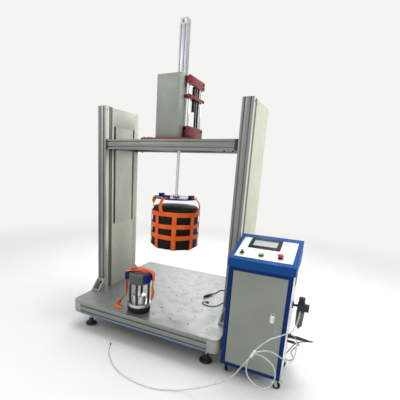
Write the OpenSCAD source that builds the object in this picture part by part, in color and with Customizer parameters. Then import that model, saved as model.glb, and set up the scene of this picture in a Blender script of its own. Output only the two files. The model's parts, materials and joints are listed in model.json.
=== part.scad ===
// Chair durability testing machine. A bench with a drilled deck carries two columns,
// a clamped cross beam with a pneumatic loading tower and an impact bag on its rod.
// A seat impactor stands on the deck and a wheeled control cabinet beside it.

/* [Bench] */
// Width of the deck, left to right
deck_w = 1300; // [1200:10:1500]
// Depth of the deck, front to back
deck_d = 1360; // [1260:10:1500]
// Thickness of the deck plate
deck_t = 16; // [10:1:25]
// Height of the frame rails under the plate
frame_h = 90; // [70:1:120]
// Width of a frame rail from above
frame_w = 60; // [45:1:75]
// Side of a cast corner block
corner_w = 80; // [75:1:100]
// Radius of the bench's upright corners
corner_r = 40; // [20:1:60]
// Pitch of the hole grid in the deck
hole_pitch = 150; // [130:1:155]
// Diameter of a deck hole
hole_d = 12; // [8:0.5:20]
// Holes across and holes deep
hole_n = 8; // [4:1:8]
// How far the hole grid sits in front of the deck's centre
hole_set = 30; // [0:1:60]
// Height of the frame's underside over the floor
foot_h = 140; // [110:1:180]
// Diameter of a levelling foot's pad
foot_d = 100; // [70:1:120]
// Diameter of a levelling foot's stem
stem_d = 16; // [12:1:20]
// Side of the plate that takes a foot's stem
foot_plate = 100; // [80:1:110]

/* [Columns] */
// Height of a column over the deck
column_h = 1630; // [1550:5:1800]
// Width of a column, left to right
post_w = 80; // [70:1:90]
// Depth of the front post
front_post_d = 100; // [90:1:120]
// Depth of the rear post
rear_post_d = 60; // [50:1:80]
// Depth of a whole column, front to back
column_d = 538; // [520:2:600]
// Distance from the deck's front edge to the columns
column_set = 351; // [300:1:400]
// Thickness of the column's sheet covers
sheet_t = 4; // [2:0.5:5]
// Width of a bright strip let into the front post's sides
strip_w = 45; // [30:1:50]
// Depth of the recess in the front post's sides
strip_t = 3; // [2:0.5:5]
// Width of the upright slots in the inner panels
slot_w = 30; // [26:1:36]
// Lowest point of the upright slots
slot_low = 605; // [500:5:700]
// Distance of the upright slots' upper ends below the column's top
slot_end = 150; // [130:5:160]
// Leg length of a cast gusset bracket
gusset_l = 100; // [80:1:110]
// Wall thickness of a gusset bracket
gusset_t = 10; // [8:1:14]

/* [Beam] */
// Height of the beam's top over the deck
beam_z = 1360; // [1340:5:1380]
// Side of a beam rail
beam_s = 80; // [70:1:90]
// Thickness of the black end plates
beam_end_t = 24; // [16:1:30]
// Diameter of a clamp stud
stud_d = 16; // [12:1:20]
// Running clearance at the column face
slide_gap = 0.3; // [0.2:0.1:0.6]
// Mouth width of a profile groove
groove_w = 8; // [6:0.5:10]
// Inner width of a profile groove
groove_in = 16; // [13:0.5:18]

/* [Tower] */
// Width of the tower's base plate
base_w = 440; // [400:5:500]
// Thickness of the tower's base plate
base_t = 12; // [8:1:16]
// Height of the sheet cover
cover_h = 469; // [440:1:500]
// Width of the sheet cover
cover_w = 200; // [180:1:205]
// Depth of the sheet cover
cover_d = 75; // [60:1:80]
// Cover's left side to the load axis
cover_left = 110; // [100:1:120]
// Cover's face behind the beam's front
cover_set = 44; // [35:1:50]
// Radius of the cover's right front corner
cover_r = 25; // [15:1:30]
// Side of the square cylinder
barrel_s = 66; // [64:0.5:72]
// Bore of the cylinder
bore_d = 50; // [40:1:50]
// Length of the barrel between its heads
barrel_l = 812; // [750:1:850]
// Height of a cylinder head
head_h = 48; // [40:1:60]
// Diameter of the piston rod
rod_d = 25; // [20:1:28]
// Running clearance on the radius of rod and piston
run_gap = 0.05; // [0.02:0.01:0.1]
// Thickness of the piston
piston_h = 30; // [20:1:40]
// Height of the piston's underside over the beam
piston_z = 140; // [130:1:160]
// Length of the guide cage, front to back
cage_l = 320; // [300:1:330]
// Cage's front face ahead of the load axis
cage_set = 162; // [150:1:170]
// Outer face of the cage from the load axis
cage_x = 138; // [130:1:150]
// Thickness of a cage side plate
cage_t = 15; // [12:1:18]
// Thickness of a cage cross plate
cross_t = 12; // [8:1:14]
// Height of the lower side plate
cage_low = 96; // [80:1:110]
// Height of the cage's top over the base plate
cage_h = 462; // [440:1:480]
// Height of the upper side plate
cage_top_h = 64; // [50:1:80]
// Height of the middle plate over the base plate
cage_mid = 305; // [290:1:320]
// Thickness of the middle plate
cage_mid_t = 23; // [18:1:28]
// Diameter of the bright guide rods
guide_d = 14; // [10:1:16]
// Diameter of the black shaft
shaft_d = 16; // [12:1:18]
// Diameter of the shock absorber
shock_d = 24; // [18:1:26]
// Width of the dark rail
rail_w = 20; // [15:1:22]

/* [Load] */
// Height of the load disc's top over the deck
disc_z = 893; // [870:1:910]
// Diameter of the load disc
disc_d = 360; // [340:2:370]
// Thickness of the load disc
disc_t = 12; // [8:1:16]
// Diameter of the impact bag at its foot
bag_d = 412; // [396:2:420]
// Taper of the bag's radius over its height
bag_taper = 10; // [0:1:15]
// Height of the impact bag
bag_h = 365; // [330:5:380]
// Height of the bag's underside over the deck
bag_z = 455; // [440:1:470]
// Width of a level net band
band_h = 38; // [25:1:50]
// Width of an upright net band
band_w = 40; // [25:1:50]
// Thickness of webbing
web_t = 3; // [2:0.5:4]
// Clearance between webbing and what it lies on
web_gap = 0.3; // [0.2:0.1:0.5]
// How far a lifting strap bows out past the bag
strap_out = 34; // [25:1:40]

/* [Impactor] */
// Diameter of the impactor's base
imp_d = 190; // [170:1:210]
// Height of the rubber pad
imp_pad = 50; // [40:1:60]
// Height of the bright ring
imp_ring = 25; // [20:1:30]
// Diameter of the bright inner cylinder
imp_core_d = 110; // [90:1:120]
// Top of the inner cylinder over the deck
imp_core = 135; // [120:1:160]
// Diameter of an impactor post
imp_post_d = 20; // [16:1:24]
// Underside of the impactor's head over the deck
imp_head = 242; // [220:1:260]
// Height of the impactor's head
imp_head_h = 83; // [70:1:95]

/* [Cabinet] */
// Width of the cabinet's body
cab_w = 390; // [370:1:430]
// Depth of the cabinet's body
cab_d = 360; // [340:1:400]
// Gap between the bench and the cabinet
cab_gap = 22; // [20:1:40]
// Cabinet's face behind the bench's front edge
cab_set = 25; // [0:1:60]
// Height of a caster
caster_h = 78; // [72:1:90]
// Height from the casters to the console's front edge
cab_h = 768; // [740:1:800]
// Wall of the cabinet
cab_t = 2; // [1.5:0.5:4]
// Console's overhang past the body
lip_out = 10; // [5:1:20]
// Height of the console's front edge
lip_h = 56; // [45:1:70]
// Rise of the sloping console
slope_h = 96; // [80:1:120]
// Frame left and right of the door
door_side = 25; // [20:1:35]
// Frame above and below the door
door_end = 24; // [20:1:35]
// Thickness of the door
door_t = 20; // [16:1:24]
// Gap around the door
door_gap = 1; // [0.5:0.1:1.5]
// Gap on the hinge side, which lets the door open past a right angle
hinge_gap = 3.6; // [3.4:0.1:4.5]
// Diameter of a hinge pin
pin_d = 5; // [4:0.5:6]
// Width of the white console panel
panel_w = 354; // [340:1:360]
// Depth of the white console panel
panel_d = 294; // [280:1:300]
// Thickness of the panels
panel_t = 1.5; // [1:0.5:3]
// Width of the screen's bezel
hmi_w = 204; // [190:1:210]
// Depth of the screen's bezel
hmi_d = 150; // [135:1:155]
// Diameter of the hole for a switch
device_d = 22; // [20:1:24]
// Diameter of the stop button
stop_d = 38; // [32:1:42]
// Diameter of the filter bowl
bowl_d = 50; // [40:1:56]

/* [Casters] */
// Diameter of a caster wheel
wheel_d = 50; // [44:1:54]
// Width of a caster wheel
wheel_w = 18; // [14:1:22]
// Offset of the wheel from its swivel
trail = 18; // [14:1:22]
// Diameter of a wheel's axle
axle_d = 8; // [6:0.5:10]

/* [Hidden] */
$fn = 48;
cut = 1;

// Places that follow from the driving dimensions
frame_z = -deck_t - frame_h;
floor_z = frame_z - foot_h;
col_in = deck_w / 2 - post_w;
y_front = -deck_d / 2 + column_set;
y_rear = y_front + column_d;
axis_y = (y_front + y_rear) / 2;
y_panel = y_front + front_post_d;
y_back = y_rear - rear_post_d;
hole_at = [for (i = [0 : hole_n - 1]) (i - (hole_n - 1) / 2) * hole_pitch];
foot_at = [deck_w / 2 - frame_w - foot_plate / 2, deck_d / 2 - frame_w - foot_plate / 2];
corners = [[-1, -1], [1, -1], [-1, 1], [1, 1]];
foot_base_h = 62;
foot_rubber_h = 8;
foot_neck_d = 34;
foot_plate_t = 12;
foot_thread = 30;

// Slots sit this far in from the posts, so that the beam's studs reach both rails
slot_front = 39;
slot_rear = 28;
slot_ys = [y_panel + slot_front, y_back - slot_rear];
slot_high = column_h - slot_end;
groove_lip = 4;
groove_deep = 7;
beam_low = beam_z - beam_s;
beam_l = 2 * (col_in - beam_end_t);
clamp_s = 54;
clamp_t = 10;
nut_h = 13;
nut_d = 28;

base_z = beam_z + base_t;
cover_y = y_front + cover_set;
barrel_z = base_z + head_h;
top_z = barrel_z + barrel_l;
cage_y = axis_y - cage_set;
cage_top_z = base_z + cage_h;
cage_mid_z = base_z + cage_mid;
cage_in = cage_x - cage_t;
inner_front = 17;
barrel_r = 6;
sensor_x = 17;
sensor_w = 5;
guide_at = [[cage_in - 15, axis_y - 100], [cage_in - 11, axis_y + 144]];
shaft_at = [cage_in - 17, axis_y + 50];
shock_at = [cage_in - 19, axis_y + 1];
rail_at = [cage_in - 17, axis_y + 100];
rail_t = 12;
fit_gap = 0.1;

disc_low = disc_z - disc_t;
hub_d = 60;
hub_h = 20;
bag_r = bag_d / 2;
bag_top = bag_z + bag_h;
bag_top_r = bag_r - bag_taper;
bag_edge = 18;
net_r = bag_r + web_gap;
band_zs = [bag_z + 112, bag_z + 205, bag_z + 308];
band_n = 8;
strap_turns = [175, 262, 350];

imp_x = -65;
imp_y = -deck_d / 2 + 135;
imp_ring_z = imp_pad + imp_ring;
imp_post_r = imp_d / 2 - imp_post_d / 2 - 8;
imp_top = imp_head + imp_head_h;

cab_x = deck_w / 2 + cab_gap;
cab_y = -deck_d / 2 + cab_set;
cab_z = floor_z + caster_h;
lip_z = cab_z + cab_h;
slope_l = cab_d + 2 * lip_out;
slope_a = atan2(slope_h, slope_l);
slope_s = sqrt(slope_h * slope_h + slope_l * slope_l);
door_w = cab_w - 2 * door_side;
door_h = cab_h - 2 * door_end;
door_r = 7;
panel_y = 39;
hmi_x = 174;
hmi_y = 180;
hmi_t = 6;
screen = [154, 86];
device_y = 90;
device_xs = [56, 178, 295];
device_deep = 6;
stem_gap = 0.1;
latch_x = 301;
latch_z = cab_z + 419;
latch_h = 66;
latch_w = 26;
side_x = cab_x + cab_w + panel_t;
side_y = cab_y + 200;
reg_x = side_x + 54;
reg_z = cab_z + 429;
reg_h = 53;
reg_w = 44;
plug_z = floor_z + 310;
lead_z = floor_z + 272;
caster_in = 35;
plate_t = 4;
plate_s = 58;
fork_gap = 0.3;
wheel_gap = 1;
wheel_z = floor_z + wheel_d / 2;
caster_turn = [90, 0, 90, 0];

// Cord radii and their routes, chosen by hand along the real runs
hose_r = 4;
cable_r = 3.5;
lead_r = 3;
cord_sides = 8;
air_route = [
    [1118, -488, 271], [1118, -497, 271], [1118, -518, 250], [1110, -545, 205],
    [1092, -620, 180], [1064, -741, 211], [1007, -859, 222], [963, -910, 195],
    [937, -942, 168]
];
floor_route = [
    [915, -942, 118], [880, -969, 66], [840, -985, 0], [788, -999, -52],
    [734, -1007, -92], [678, -1005, -131], [573, -973, -212], [478, -998, -241],
    [390, -1040, -241], [290, -1060, -241], [190, -1055, -241], [85, -1029, -241],
    [5, -990, -241], [-70, -930, -241], [-140, -850, -241], [-190, -760, -241]
];
loop_route = [
    [1084, -470, 84], [1096, -470, 84], [1122, -495, 58], [1128, -540, 5],
    [1120, -590, -30], [1100, -645, -20], [1062, -688, 18], [1029, -793, 96],
    [988, -858, 137], [941, -910, 143], [907, -935, 105], [898, -943, 48],
    [909, -937, -8], [937, -918, -53], [969, -890, -94], [1001, -853, -113],
    [1028, -816, -108], [1043, -794, -78], [1044, -803, -22], [1024, -847, 55],
    [987, -900, 114], [951, -935, 144], [940, -950, 154]
];
cable_route = [
    [1188, -455, 64], [1198, -455, 64], [1216, -441, 57], [1212, -416, 44],
    [1175, -394, 24], [1126, -372, -10], [1092, -325, -80], [1064, -262, -165],
    [1020, -215, -242], [880, -80, -242], [790, 100, -242], [740, 240, -238],
    [715, 320, -170], [692, 355, -60], [665, 362, 8], [610, 360, 4], [500, 312, 4],
    [402, 262, 4], [374, 228, 4], [366, 160, 4], [350, 96, 10]
];
lead_route = [
    [1110, -455, 26], [1120, -455, 26], [1138, -440, 16], [1126, -410, -18],
    [1094, -360, -100], [1112, -292, -190], [1034, -232, -242.5], [860, -90, -242.5],
    [765, 90, -242.5], [712, 220, -230], [688, 285, -140], [674, 322, -40],
    [658, 332, 7], [600, 327, 3.5], [556, 318, 3.5], [530, 270, 3.5], [512, 100, 3.5],
    [480, -60, 3.5], [462, -120, 3.5], [420, -158, 3.5], [370, -160, 3.5],
    [332, -130, 3.5], [336, -98, 4.5], [356, -92, 7]
];
union_at = [926, -942, 143];
union_turn = 24;
connector_at = [[303, -12, 11], [352, 102, 11]];
tip_at = [[352, -91, 7], [386, -101, 7]];
// Held fixed so that the tubes don't twist; no route runs along it
cord_up = [0.2, 0.9, -0.4];

// Direction and side vectors of a route, and a tube swept along it
function unit(v) = v / norm(v);
function tangent(p, i) = unit(p[min(i + 1, len(p) - 1)] - p[max(i - 1, 0)]);
function side(t) = unit(cross(t, cord_up));
function ring(p, i, r) =
    let (t = tangent(p, i), u = side(t), v = cross(u, t))
    [for (k = [0 : cord_sides - 1])
        let (a = 360 * (k + 0.5) / cord_sides) p[i] + r * (cos(a) * u + sin(a) * v)];

module tube(route, r) {
    n = len(route);
    rings = [for (i = [0 : n - 1]) each ring(route, i, r)];
    walls = [for (i = [0 : n - 2], k = [0 : cord_sides - 1])
        let (a = i * cord_sides + k, b = i * cord_sides + (k + 1) % cord_sides)
        each [[a, b, b + cord_sides], [a, b + cord_sides, a + cord_sides]]];
    low_end = [[for (k = [cord_sides - 1 : -1 : 0]) k]];
    far_end = [[for (k = [0 : cord_sides - 1]) (n - 1) * cord_sides + k]];
    polyhedron(points = rings, faces = concat(walls, low_end, far_end), convexity = 8);
}

// Round bar between two points
module bar(a, b, d) {
    v = b - a;
    translate(a) rotate([0, acos(v[2] / norm(v)), atan2(v[1], v[0])]) cylinder(d = d, h = norm(v));
}

// A piece and its mirror image across the machine's centre plane
module both_x() {
    children();
    mirror([1, 0, 0]) children();
}

module both_y() {
    children();
    mirror([0, 1, 0]) children();
}

// Rectangle about the origin with round corners
module round_rect(w, d, r) {
    square([w - 2 * r, d], center = true);
    square([w, d - 2 * r], center = true);
    for (c = corners) translate([c[0] * (w / 2 - r), c[1] * (d / 2 - r)]) circle(r);
}

// Groove of a slotted profile, its mouth on the X axis and its depth below
module groove() {
    translate([-groove_w / 2, -groove_lip - cut]) square([groove_w, groove_lip + 2 * cut]);
    translate([-groove_in / 2, -groove_lip - groove_deep]) square([groove_in, groove_deep]);
}

// Section of a square beam rail with two grooves on each face
module beam_section() {
    difference() {
        square(beam_s, center = true);
        for (turn = [0 : 90 : 270], x = [-beam_s / 4, beam_s / 4])
            rotate(turn) translate([x, beam_s / 2]) groove();
    }
}

// Places something on the sloping console: x from the body's left side, y up the slope
module on_slope(x, y) {
    translate([cab_x + x, cab_y - lip_out, lip_z])
        rotate([slope_a, 0, 0]) translate([0, y, 0]) children();
}

module deck_plate() {
    color("#AAACA5")
        difference() {
            translate([0, 0, -deck_t]) linear_extrude(deck_t) round_rect(deck_w, deck_d, corner_r);
            for (x = hole_at, y = hole_at)
                translate([x, y - hole_set, -deck_t - cut]) cylinder(d = hole_d, h = deck_t + 2 * cut);
        }
}

// Rail along X with two grooves in its outer face, which lies at y = 0
module frame_rail(l) {
    rotate([90, 0, 90])
        linear_extrude(l, center = true)
            difference() {
                square([frame_w, frame_h]);
                for (z = [0.25, 0.75])
                    translate([0, frame_h * z]) rotate(90) groove();
            }
}

module base_rails() {
    color("#8D908B") {
        both_y() translate([0, -deck_d / 2, frame_z]) frame_rail(deck_w - 2 * corner_w);
        both_x() translate([deck_w / 2, 0, frame_z])
            rotate([0, 0, 90]) frame_rail(deck_d - 2 * corner_w);
        both_y() translate([-deck_w / 2 + frame_w, deck_d / 6 - frame_w / 2, frame_z])
            cube([deck_w - 2 * frame_w, frame_w, frame_h]);
    }
}

// Cast corner with the bench's outer radius, and the plate that takes the foot
module corner_block() {
    difference() {
        translate([0, 0, frame_z]) {
            linear_extrude(frame_h)
                translate([deck_w / 2 - corner_w, deck_d / 2 - corner_w]) {
                    square([corner_w - corner_r, corner_w]);
                    square([corner_w, corner_w - corner_r]);
                    translate([corner_w - corner_r, corner_w - corner_r]) circle(corner_r);
                }
            translate([foot_at[0] - foot_plate / 2, foot_at[1] - foot_plate / 2, 0])
                cube([foot_plate, foot_plate, foot_plate_t]);
        }
        translate([foot_at[0], foot_at[1], frame_z - cut])
            cylinder(d = stem_d + 2 * run_gap, h = foot_plate_t + 2 * cut);
    }
}

module corner_blocks() {
    color("#8D908B") both_x() both_y() corner_block();
}

// Levelling foot: rubber ring, cast pad, hexagon nut and stem
module foot(i) {
    flare = foot_neck_d / 2 + 6;
    translate([corners[i][0] * foot_at[0], corners[i][1] * foot_at[1], floor_z]) {
        rotate_extrude()
            polygon([
                [0, 0], [foot_d / 2 - 4, 0], [foot_d / 2, foot_rubber_h / 2],
                [foot_d / 2 - 2, foot_rubber_h], [foot_d / 2 - 4, foot_rubber_h + 9],
                [flare, foot_rubber_h + 16], [foot_neck_d / 2, foot_base_h], [0, foot_base_h]
            ]);
        cylinder(d = stem_d, h = foot_h + foot_plate_t + foot_thread);
        translate([0, 0, foot_h - nut_h - slide_gap]) cylinder(d = nut_d, h = nut_h, $fn = 6);
    }
}

// Front post: two grooves in the front, side recesses for the bright strips
module front_posts() {
    color("#878A86")
        both_x() translate([col_in, y_front, 0])
            linear_extrude(column_h)
                difference() {
                    square([post_w, front_post_d]);
                    for (x = [0.25, 0.75])
                        translate([post_w * x, 0]) rotate(180) groove();
                    for (x = [-cut, post_w - strip_t])
                        translate([x, strip_t]) square([strip_t + cut, front_post_d - 2 * strip_t]);
                }
}

module rear_posts() {
    color("#D7DAC8")
        both_x() translate([col_in, y_back, 0])
            linear_extrude(column_h)
                difference() {
                    square([post_w - sheet_t, rear_post_d]);
                    for (x = [0.25, 0.75])
                        translate([post_w * x, rear_post_d]) groove();
                }
}

module post_strips() {
    color("#D9DBD6")
        both_x()
            for (x = [col_in, col_in + post_w - strip_t])
                translate([x, y_front + strip_t, 0]) cube([strip_t, strip_w, column_h]);
}

// Upright slot with round ends, cut along X
module slot_cut() {
    rotate([90, 0, 90])
        linear_extrude(sheet_t + 2 * cut) {
            translate([-slot_w / 2, slot_low + slot_w / 2])
                square([slot_w, slot_high - slot_low - slot_w]);
            for (z = [slot_low + slot_w / 2, slot_high - slot_w / 2]) translate([0, z]) circle(d = slot_w);
        }
}

module inner_panels() {
    color("#B9C0B4")
        both_x()
            difference() {
                translate([col_in, y_panel, 0]) cube([sheet_t, y_back - y_panel, column_h]);
                for (y = slot_ys) translate([col_in - cut, y, 0]) slot_cut();
            }
}

// Outer sheet with its folded top, which closes the column
module outer_covers() {
    outer = deck_w / 2 - sheet_t;
    color("#DDE0CF")
        both_x() {
            translate([outer, y_panel, 0]) cube([sheet_t, y_rear - y_panel, column_h]);
            translate([col_in + sheet_t, y_panel, column_h - sheet_t])
                cube([outer - col_in - sheet_t, y_back - y_panel, sheet_t]);
        }
}

// Cast bracket: foot on the deck, back on the post, two triangular cheeks
module gusset() {
    difference() {
        union() {
            cube([post_w, gusset_l, gusset_t]);
            cube([post_w, gusset_t, gusset_l]);
            for (x = [0, post_w - gusset_t])
                translate([x, 0, 0]) rotate([90, 0, 90]) linear_extrude(gusset_t)
                    polygon([[0, 0], [gusset_l, 0], [gusset_l, gusset_t], [gusset_t, gusset_l], [0, gusset_l]]);
        }
        translate([post_w / 2, gusset_l * 0.6, -cut]) cylinder(d = hole_d, h = gusset_t + 2 * cut);
        translate([post_w / 2, -cut, gusset_l * 0.6]) rotate([-90, 0, 0])
            cylinder(d = hole_d, h = gusset_t + 2 * cut);
    }
}

module gussets() {
    color("#9A9D99")
        both_x() {
            translate([col_in, y_rear, 0]) gusset();
            translate([col_in, y_front, 0]) mirror([0, 1, 0]) gusset();
        }
}

module beam_rails() {
    color("#878A86")
        for (y = [y_front + beam_s / 2, y_rear - beam_s / 2])
            translate([0, y, beam_z - beam_s / 2]) rotate([90, 0, 90])
                linear_extrude(beam_l, center = true) beam_section();
}

// End plate with two studs that clamp through the column's slots
module beam_end() {
    translate([col_in - beam_end_t, y_front, beam_low])
        cube([beam_end_t - slide_gap, column_d, beam_s]);
    for (y = slot_ys)
        translate([col_in, y, beam_z - beam_s / 2]) {
            rotate([0, 90, 0]) translate([0, 0, -beam_end_t / 2])
                cylinder(d = stud_d, h = beam_end_t / 2 + sheet_t + clamp_t + nut_h + 6);
            translate([sheet_t + slide_gap, -clamp_s / 2, -clamp_s / 2])
                cube([clamp_t, clamp_s, clamp_s]);
            translate([sheet_t + slide_gap + clamp_t, 0, 0]) rotate([0, 90, 0])
                cylinder(d = nut_d, h = nut_h, $fn = 6);
        }
}

module beam_ends() {
    color("#222326") both_x() beam_end();
}

module tower_base() {
    color("#8E2A2C")
        difference() {
            translate([-base_w / 2, y_front, beam_z]) cube([base_w, column_d, base_t]);
            translate([0, axis_y, beam_z - cut]) cylinder(d = bore_d, h = base_t + 2 * cut);
        }
}

// Plan of the cover with its one large round corner, drawn in by a margin
module cover_plan(m) {
    translate([m, m]) square([cover_w - cover_r - m, cover_d - m + cut * sign(m)]);
    translate([m, cover_r]) square([cover_w - 2 * m, cover_d - cover_r + cut * sign(m)]);
    translate([cover_w - cover_r, cover_r]) circle(cover_r - m);
}

// Folded sheet cover in front of the cylinder, open to the rear
module tower_cover() {
    color("#91988F")
        translate([-cover_left, cover_y, base_z])
            difference() {
                linear_extrude(cover_h) cover_plan(0);
                translate([0, 0, -cut]) linear_extrude(cover_h - cab_t + cut) cover_plan(cab_t);
            }
}

// Square barrel with sensor grooves and its true bore
module cylinder_barrel() {
    color("#C9CBCE")
        translate([0, axis_y, barrel_z])
            difference() {
                linear_extrude(barrel_l)
                    difference() {
                        round_rect(barrel_s, barrel_s, barrel_r);
                        for (turn = [0 : 90 : 270], x = [-sensor_x, sensor_x])
                            rotate(turn) translate([x - sensor_w / 2, barrel_s / 2 - sensor_w])
                                square([sensor_w, sensor_w + cut]);
                    }
                translate([0, 0, -cut]) cylinder(d = bore_d, h = barrel_l + 2 * cut);
            }
}

// Heads with the rod's bearing below and the air port above
module cylinder_heads() {
    port_d = 14;
    screw_at = barrel_s / 2 - 10;
    color("#D5D6D8")
        translate([0, axis_y, 0]) {
            difference() {
                translate([0, 0, base_z]) linear_extrude(head_h) round_rect(barrel_s, barrel_s, barrel_r);
                translate([0, 0, base_z - cut]) cylinder(d = rod_d + 2 * run_gap, h = head_h + 2 * cut);
            }
            difference() {
                translate([0, 0, top_z]) linear_extrude(head_h) round_rect(barrel_s, barrel_s, barrel_r);
                for (c = corners)
                    translate([c[0] * screw_at, c[1] * screw_at, top_z + head_h - 6]) cylinder(d = 9, h = 6 + cut);
                translate([0, 0, top_z + head_h / 2]) rotate([90, 0, 0])
                    cylinder(d = port_d, h = barrel_s / 2 + cut);
            }
        }
}

// Bridge of two side plates and a cross plate, open to the front and rear
module cage_bottom() {
    leg_x = barrel_s / 2 + 6;
    color("#8E2A2C")
        translate([0, cage_y, base_z]) {
            translate([cage_in, 0, 0]) cube([cage_t, cage_l, cage_low]);
            translate([leg_x, inner_front, cage_low - cross_t])
                cube([cage_in - leg_x, cage_l - inner_front, cross_t]);
            translate([leg_x, inner_front, 0]) cube([cross_t, cage_l - inner_front, cage_low]);
        }
}

// Holes for the rods, shaft, rail and shock absorber in a cross plate
module cage_cuts(z, h) {
    for (p = guide_at) translate([p[0], p[1], z]) cylinder(d = guide_d + 2 * fit_gap, h = h);
    translate([shaft_at[0], shaft_at[1], z]) cylinder(d = shaft_d + 2 * fit_gap, h = h);
    translate([shock_at[0], shock_at[1], z]) cylinder(d = shock_d + 2 * fit_gap, h = h);
    translate([rail_at[0] - rail_t / 2 - fit_gap, rail_at[1] - rail_w / 2 - fit_gap, z])
        cube([rail_t + 2 * fit_gap, rail_w + 2 * fit_gap, h]);
}

module cage_middle() {
    block_l = 36;
    color("#8E2A2C")
        difference() {
            translate([cage_in - block_l, cage_y, cage_mid_z]) {
                translate([block_l, 0, 0]) cube([cage_t, cage_l, cage_mid_t]);
                translate([0, inner_front, 0]) cube([block_l, cage_l - inner_front, cage_mid_t]);
            }
            cage_cuts(cage_mid_z - cut, cage_mid_t + 2 * cut);
        }
}

module cage_top() {
    color("#8E2A2C") {
        translate([cage_in, cage_y - 4, cage_top_z - cage_top_h])
            cube([cage_t, cage_l - 5, cage_top_h]);
        translate([barrel_s / 2, cage_y + inner_front, cage_top_z - cross_t])
            cube([cage_in - barrel_s / 2, cage_l - inner_front - 9, cross_t]);
    }
}

// Clear height between the lower and the upper cross plate
cage_gap_z = base_z + cage_low;
cage_gap_h = cage_top_z - cross_t - cage_gap_z;

module cage_rods() {
    color("#D5D6D8")
        for (p = guide_at) translate([p[0], p[1], cage_gap_z]) cylinder(d = guide_d, h = cage_gap_h);
}

module cage_rail() {
    color("#26272A") {
        translate([rail_at[0] - rail_t / 2, rail_at[1] - rail_w / 2, cage_gap_z])
            cube([rail_t, rail_w, cage_gap_h]);
        translate([shaft_at[0], shaft_at[1], cage_gap_z]) cylinder(d = shaft_d, h = cage_gap_h);
    }
}

// Shock absorber: threaded body through the middle plate, nuts and plunger
module shock_absorber() {
    below = 87;
    above = 78;
    color("#18191B")
        translate([shock_at[0], shock_at[1], cage_mid_z]) {
            translate([0, 0, -below]) cylinder(d = shock_d, h = below + cage_mid_t + above);
            for (z = [-8, cage_mid_t]) translate([0, 0, z]) cylinder(d = nut_d + 4, h = 8, $fn = 6);
            translate([0, 0, cage_mid_t + above]) cylinder(d = 8, h = 20);
        }
}

// Rod with its piston above and the flange that holds the disc below
module piston_rod() {
    piston_low = beam_z + piston_z;
    color("#D5D6D8")
        translate([0, axis_y, 0]) {
            translate([0, 0, disc_z]) cylinder(d = rod_d, h = piston_low - disc_z + cut);
            translate([0, 0, disc_z]) cylinder(d = hub_d, h = hub_h);
            translate([0, 0, piston_low]) cylinder(d = bore_d - 2 * run_gap, h = piston_h);
        }
}

// Disc with the cast ears that the lifting straps run through
module load_disc() {
    ear = [30, 52, 26];
    ear_r = disc_d / 2 - ear[0] - 12;
    color("#14207A")
        translate([0, axis_y, disc_low]) {
            cylinder(d = disc_d, h = disc_t);
            for (a = strap_turns)
                rotate([0, 0, a]) translate([ear_r, -ear[1] / 2, disc_t])
                    difference() {
                        cube(ear);
                        translate([-cut, web_t * 2, 0])
                            cube([ear[0] + 2 * cut, ear[1] - web_t * 4, web_t * 3]);
                    }
        }
}

// Lifting strap: over the disc's edge, bowed out, and back to the bag's side
module bag_straps() {
    width = band_w - 4;
    rise_r = bag_r + strap_out - disc_d / 2;
    fall_r = strap_out - web_t;
    mid_z = disc_z + web_gap + web_t - rise_r;
    flat_r = disc_d / 2 - 55;
    tab_r = net_r + web_t + web_gap;
    straight = 14;
    color("#FF5519")
        translate([0, axis_y, 0])
            for (a = strap_turns)
                rotate([90, 0, a]) linear_extrude(width, center = true) {
                    translate([flat_r, disc_z + web_gap]) square([disc_d / 2 - flat_r, web_t]);
                    translate([disc_d / 2, mid_z])
                        intersection() {
                            difference() {
                                circle(rise_r);
                                circle(rise_r - web_t);
                            }
                            square(rise_r);
                        }
                    translate([bag_r + strap_out - web_t, mid_z - straight]) square([web_t, straight]);
                    translate([bag_r + strap_out - fall_r, mid_z - straight])
                        intersection() {
                            difference() {
                                circle(fall_r);
                                circle(fall_r - web_t);
                            }
                            translate([0, -fall_r]) square(fall_r);
                        }
                    translate([tab_r, band_zs[2] - band_h / 2])
                        square([web_t, mid_z - straight - fall_r + web_t - band_zs[2] + band_h / 2]);
                }
}

// Impact bag with soft round edges, a little narrower at its top
module bag() {
    color("#1B1C1F")
        translate([0, axis_y, bag_z])
            rotate_extrude() {
                polygon([
                    [0, 0], [bag_r - bag_edge, 0], [bag_r, bag_edge],
                    [bag_top_r, bag_h - bag_edge], [bag_top_r - bag_edge, bag_h], [0, bag_h]
                ]);
                translate([bag_r - bag_edge - web_gap, bag_edge + web_gap / 2]) circle(bag_edge);
            }
}

// Orange webbing round and under the bag: a cup of which only the bands are left
module bag_net() {
    low = bag_z - web_gap - web_t;
    top = band_zs[2] + band_h / 2;
    out = 2 * (net_r + web_t + cut);
    color("#FF5519")
        translate([0, axis_y, 0])
            intersection() {
                difference() {
                    translate([0, 0, low]) cylinder(r = net_r + web_t, h = top - low);
                    translate([0, 0, low + web_t]) cylinder(r = net_r, h = top - low);
                }
                union() {
                    for (z = band_zs)
                        translate([0, 0, z]) cube([out, out, band_h], center = true);
                    for (i = [0 : band_n / 2 - 1])
                        rotate([0, 0, (i + 0.5) * 360 / band_n])
                            translate([-out / 2, -band_w / 2, low - cut]) cube([out, band_w, top - low + cut]);
                }
            }
}

module impactor_pad() {
    color("#141416")
        translate([imp_x, imp_y, 0]) rotate_extrude()
            polygon([
                [0, 0], [imp_d / 2 - 12, 0], [imp_d / 2 - 3, 12],
                [imp_d / 2, imp_pad], [0, imp_pad]
            ]);
}

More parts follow.
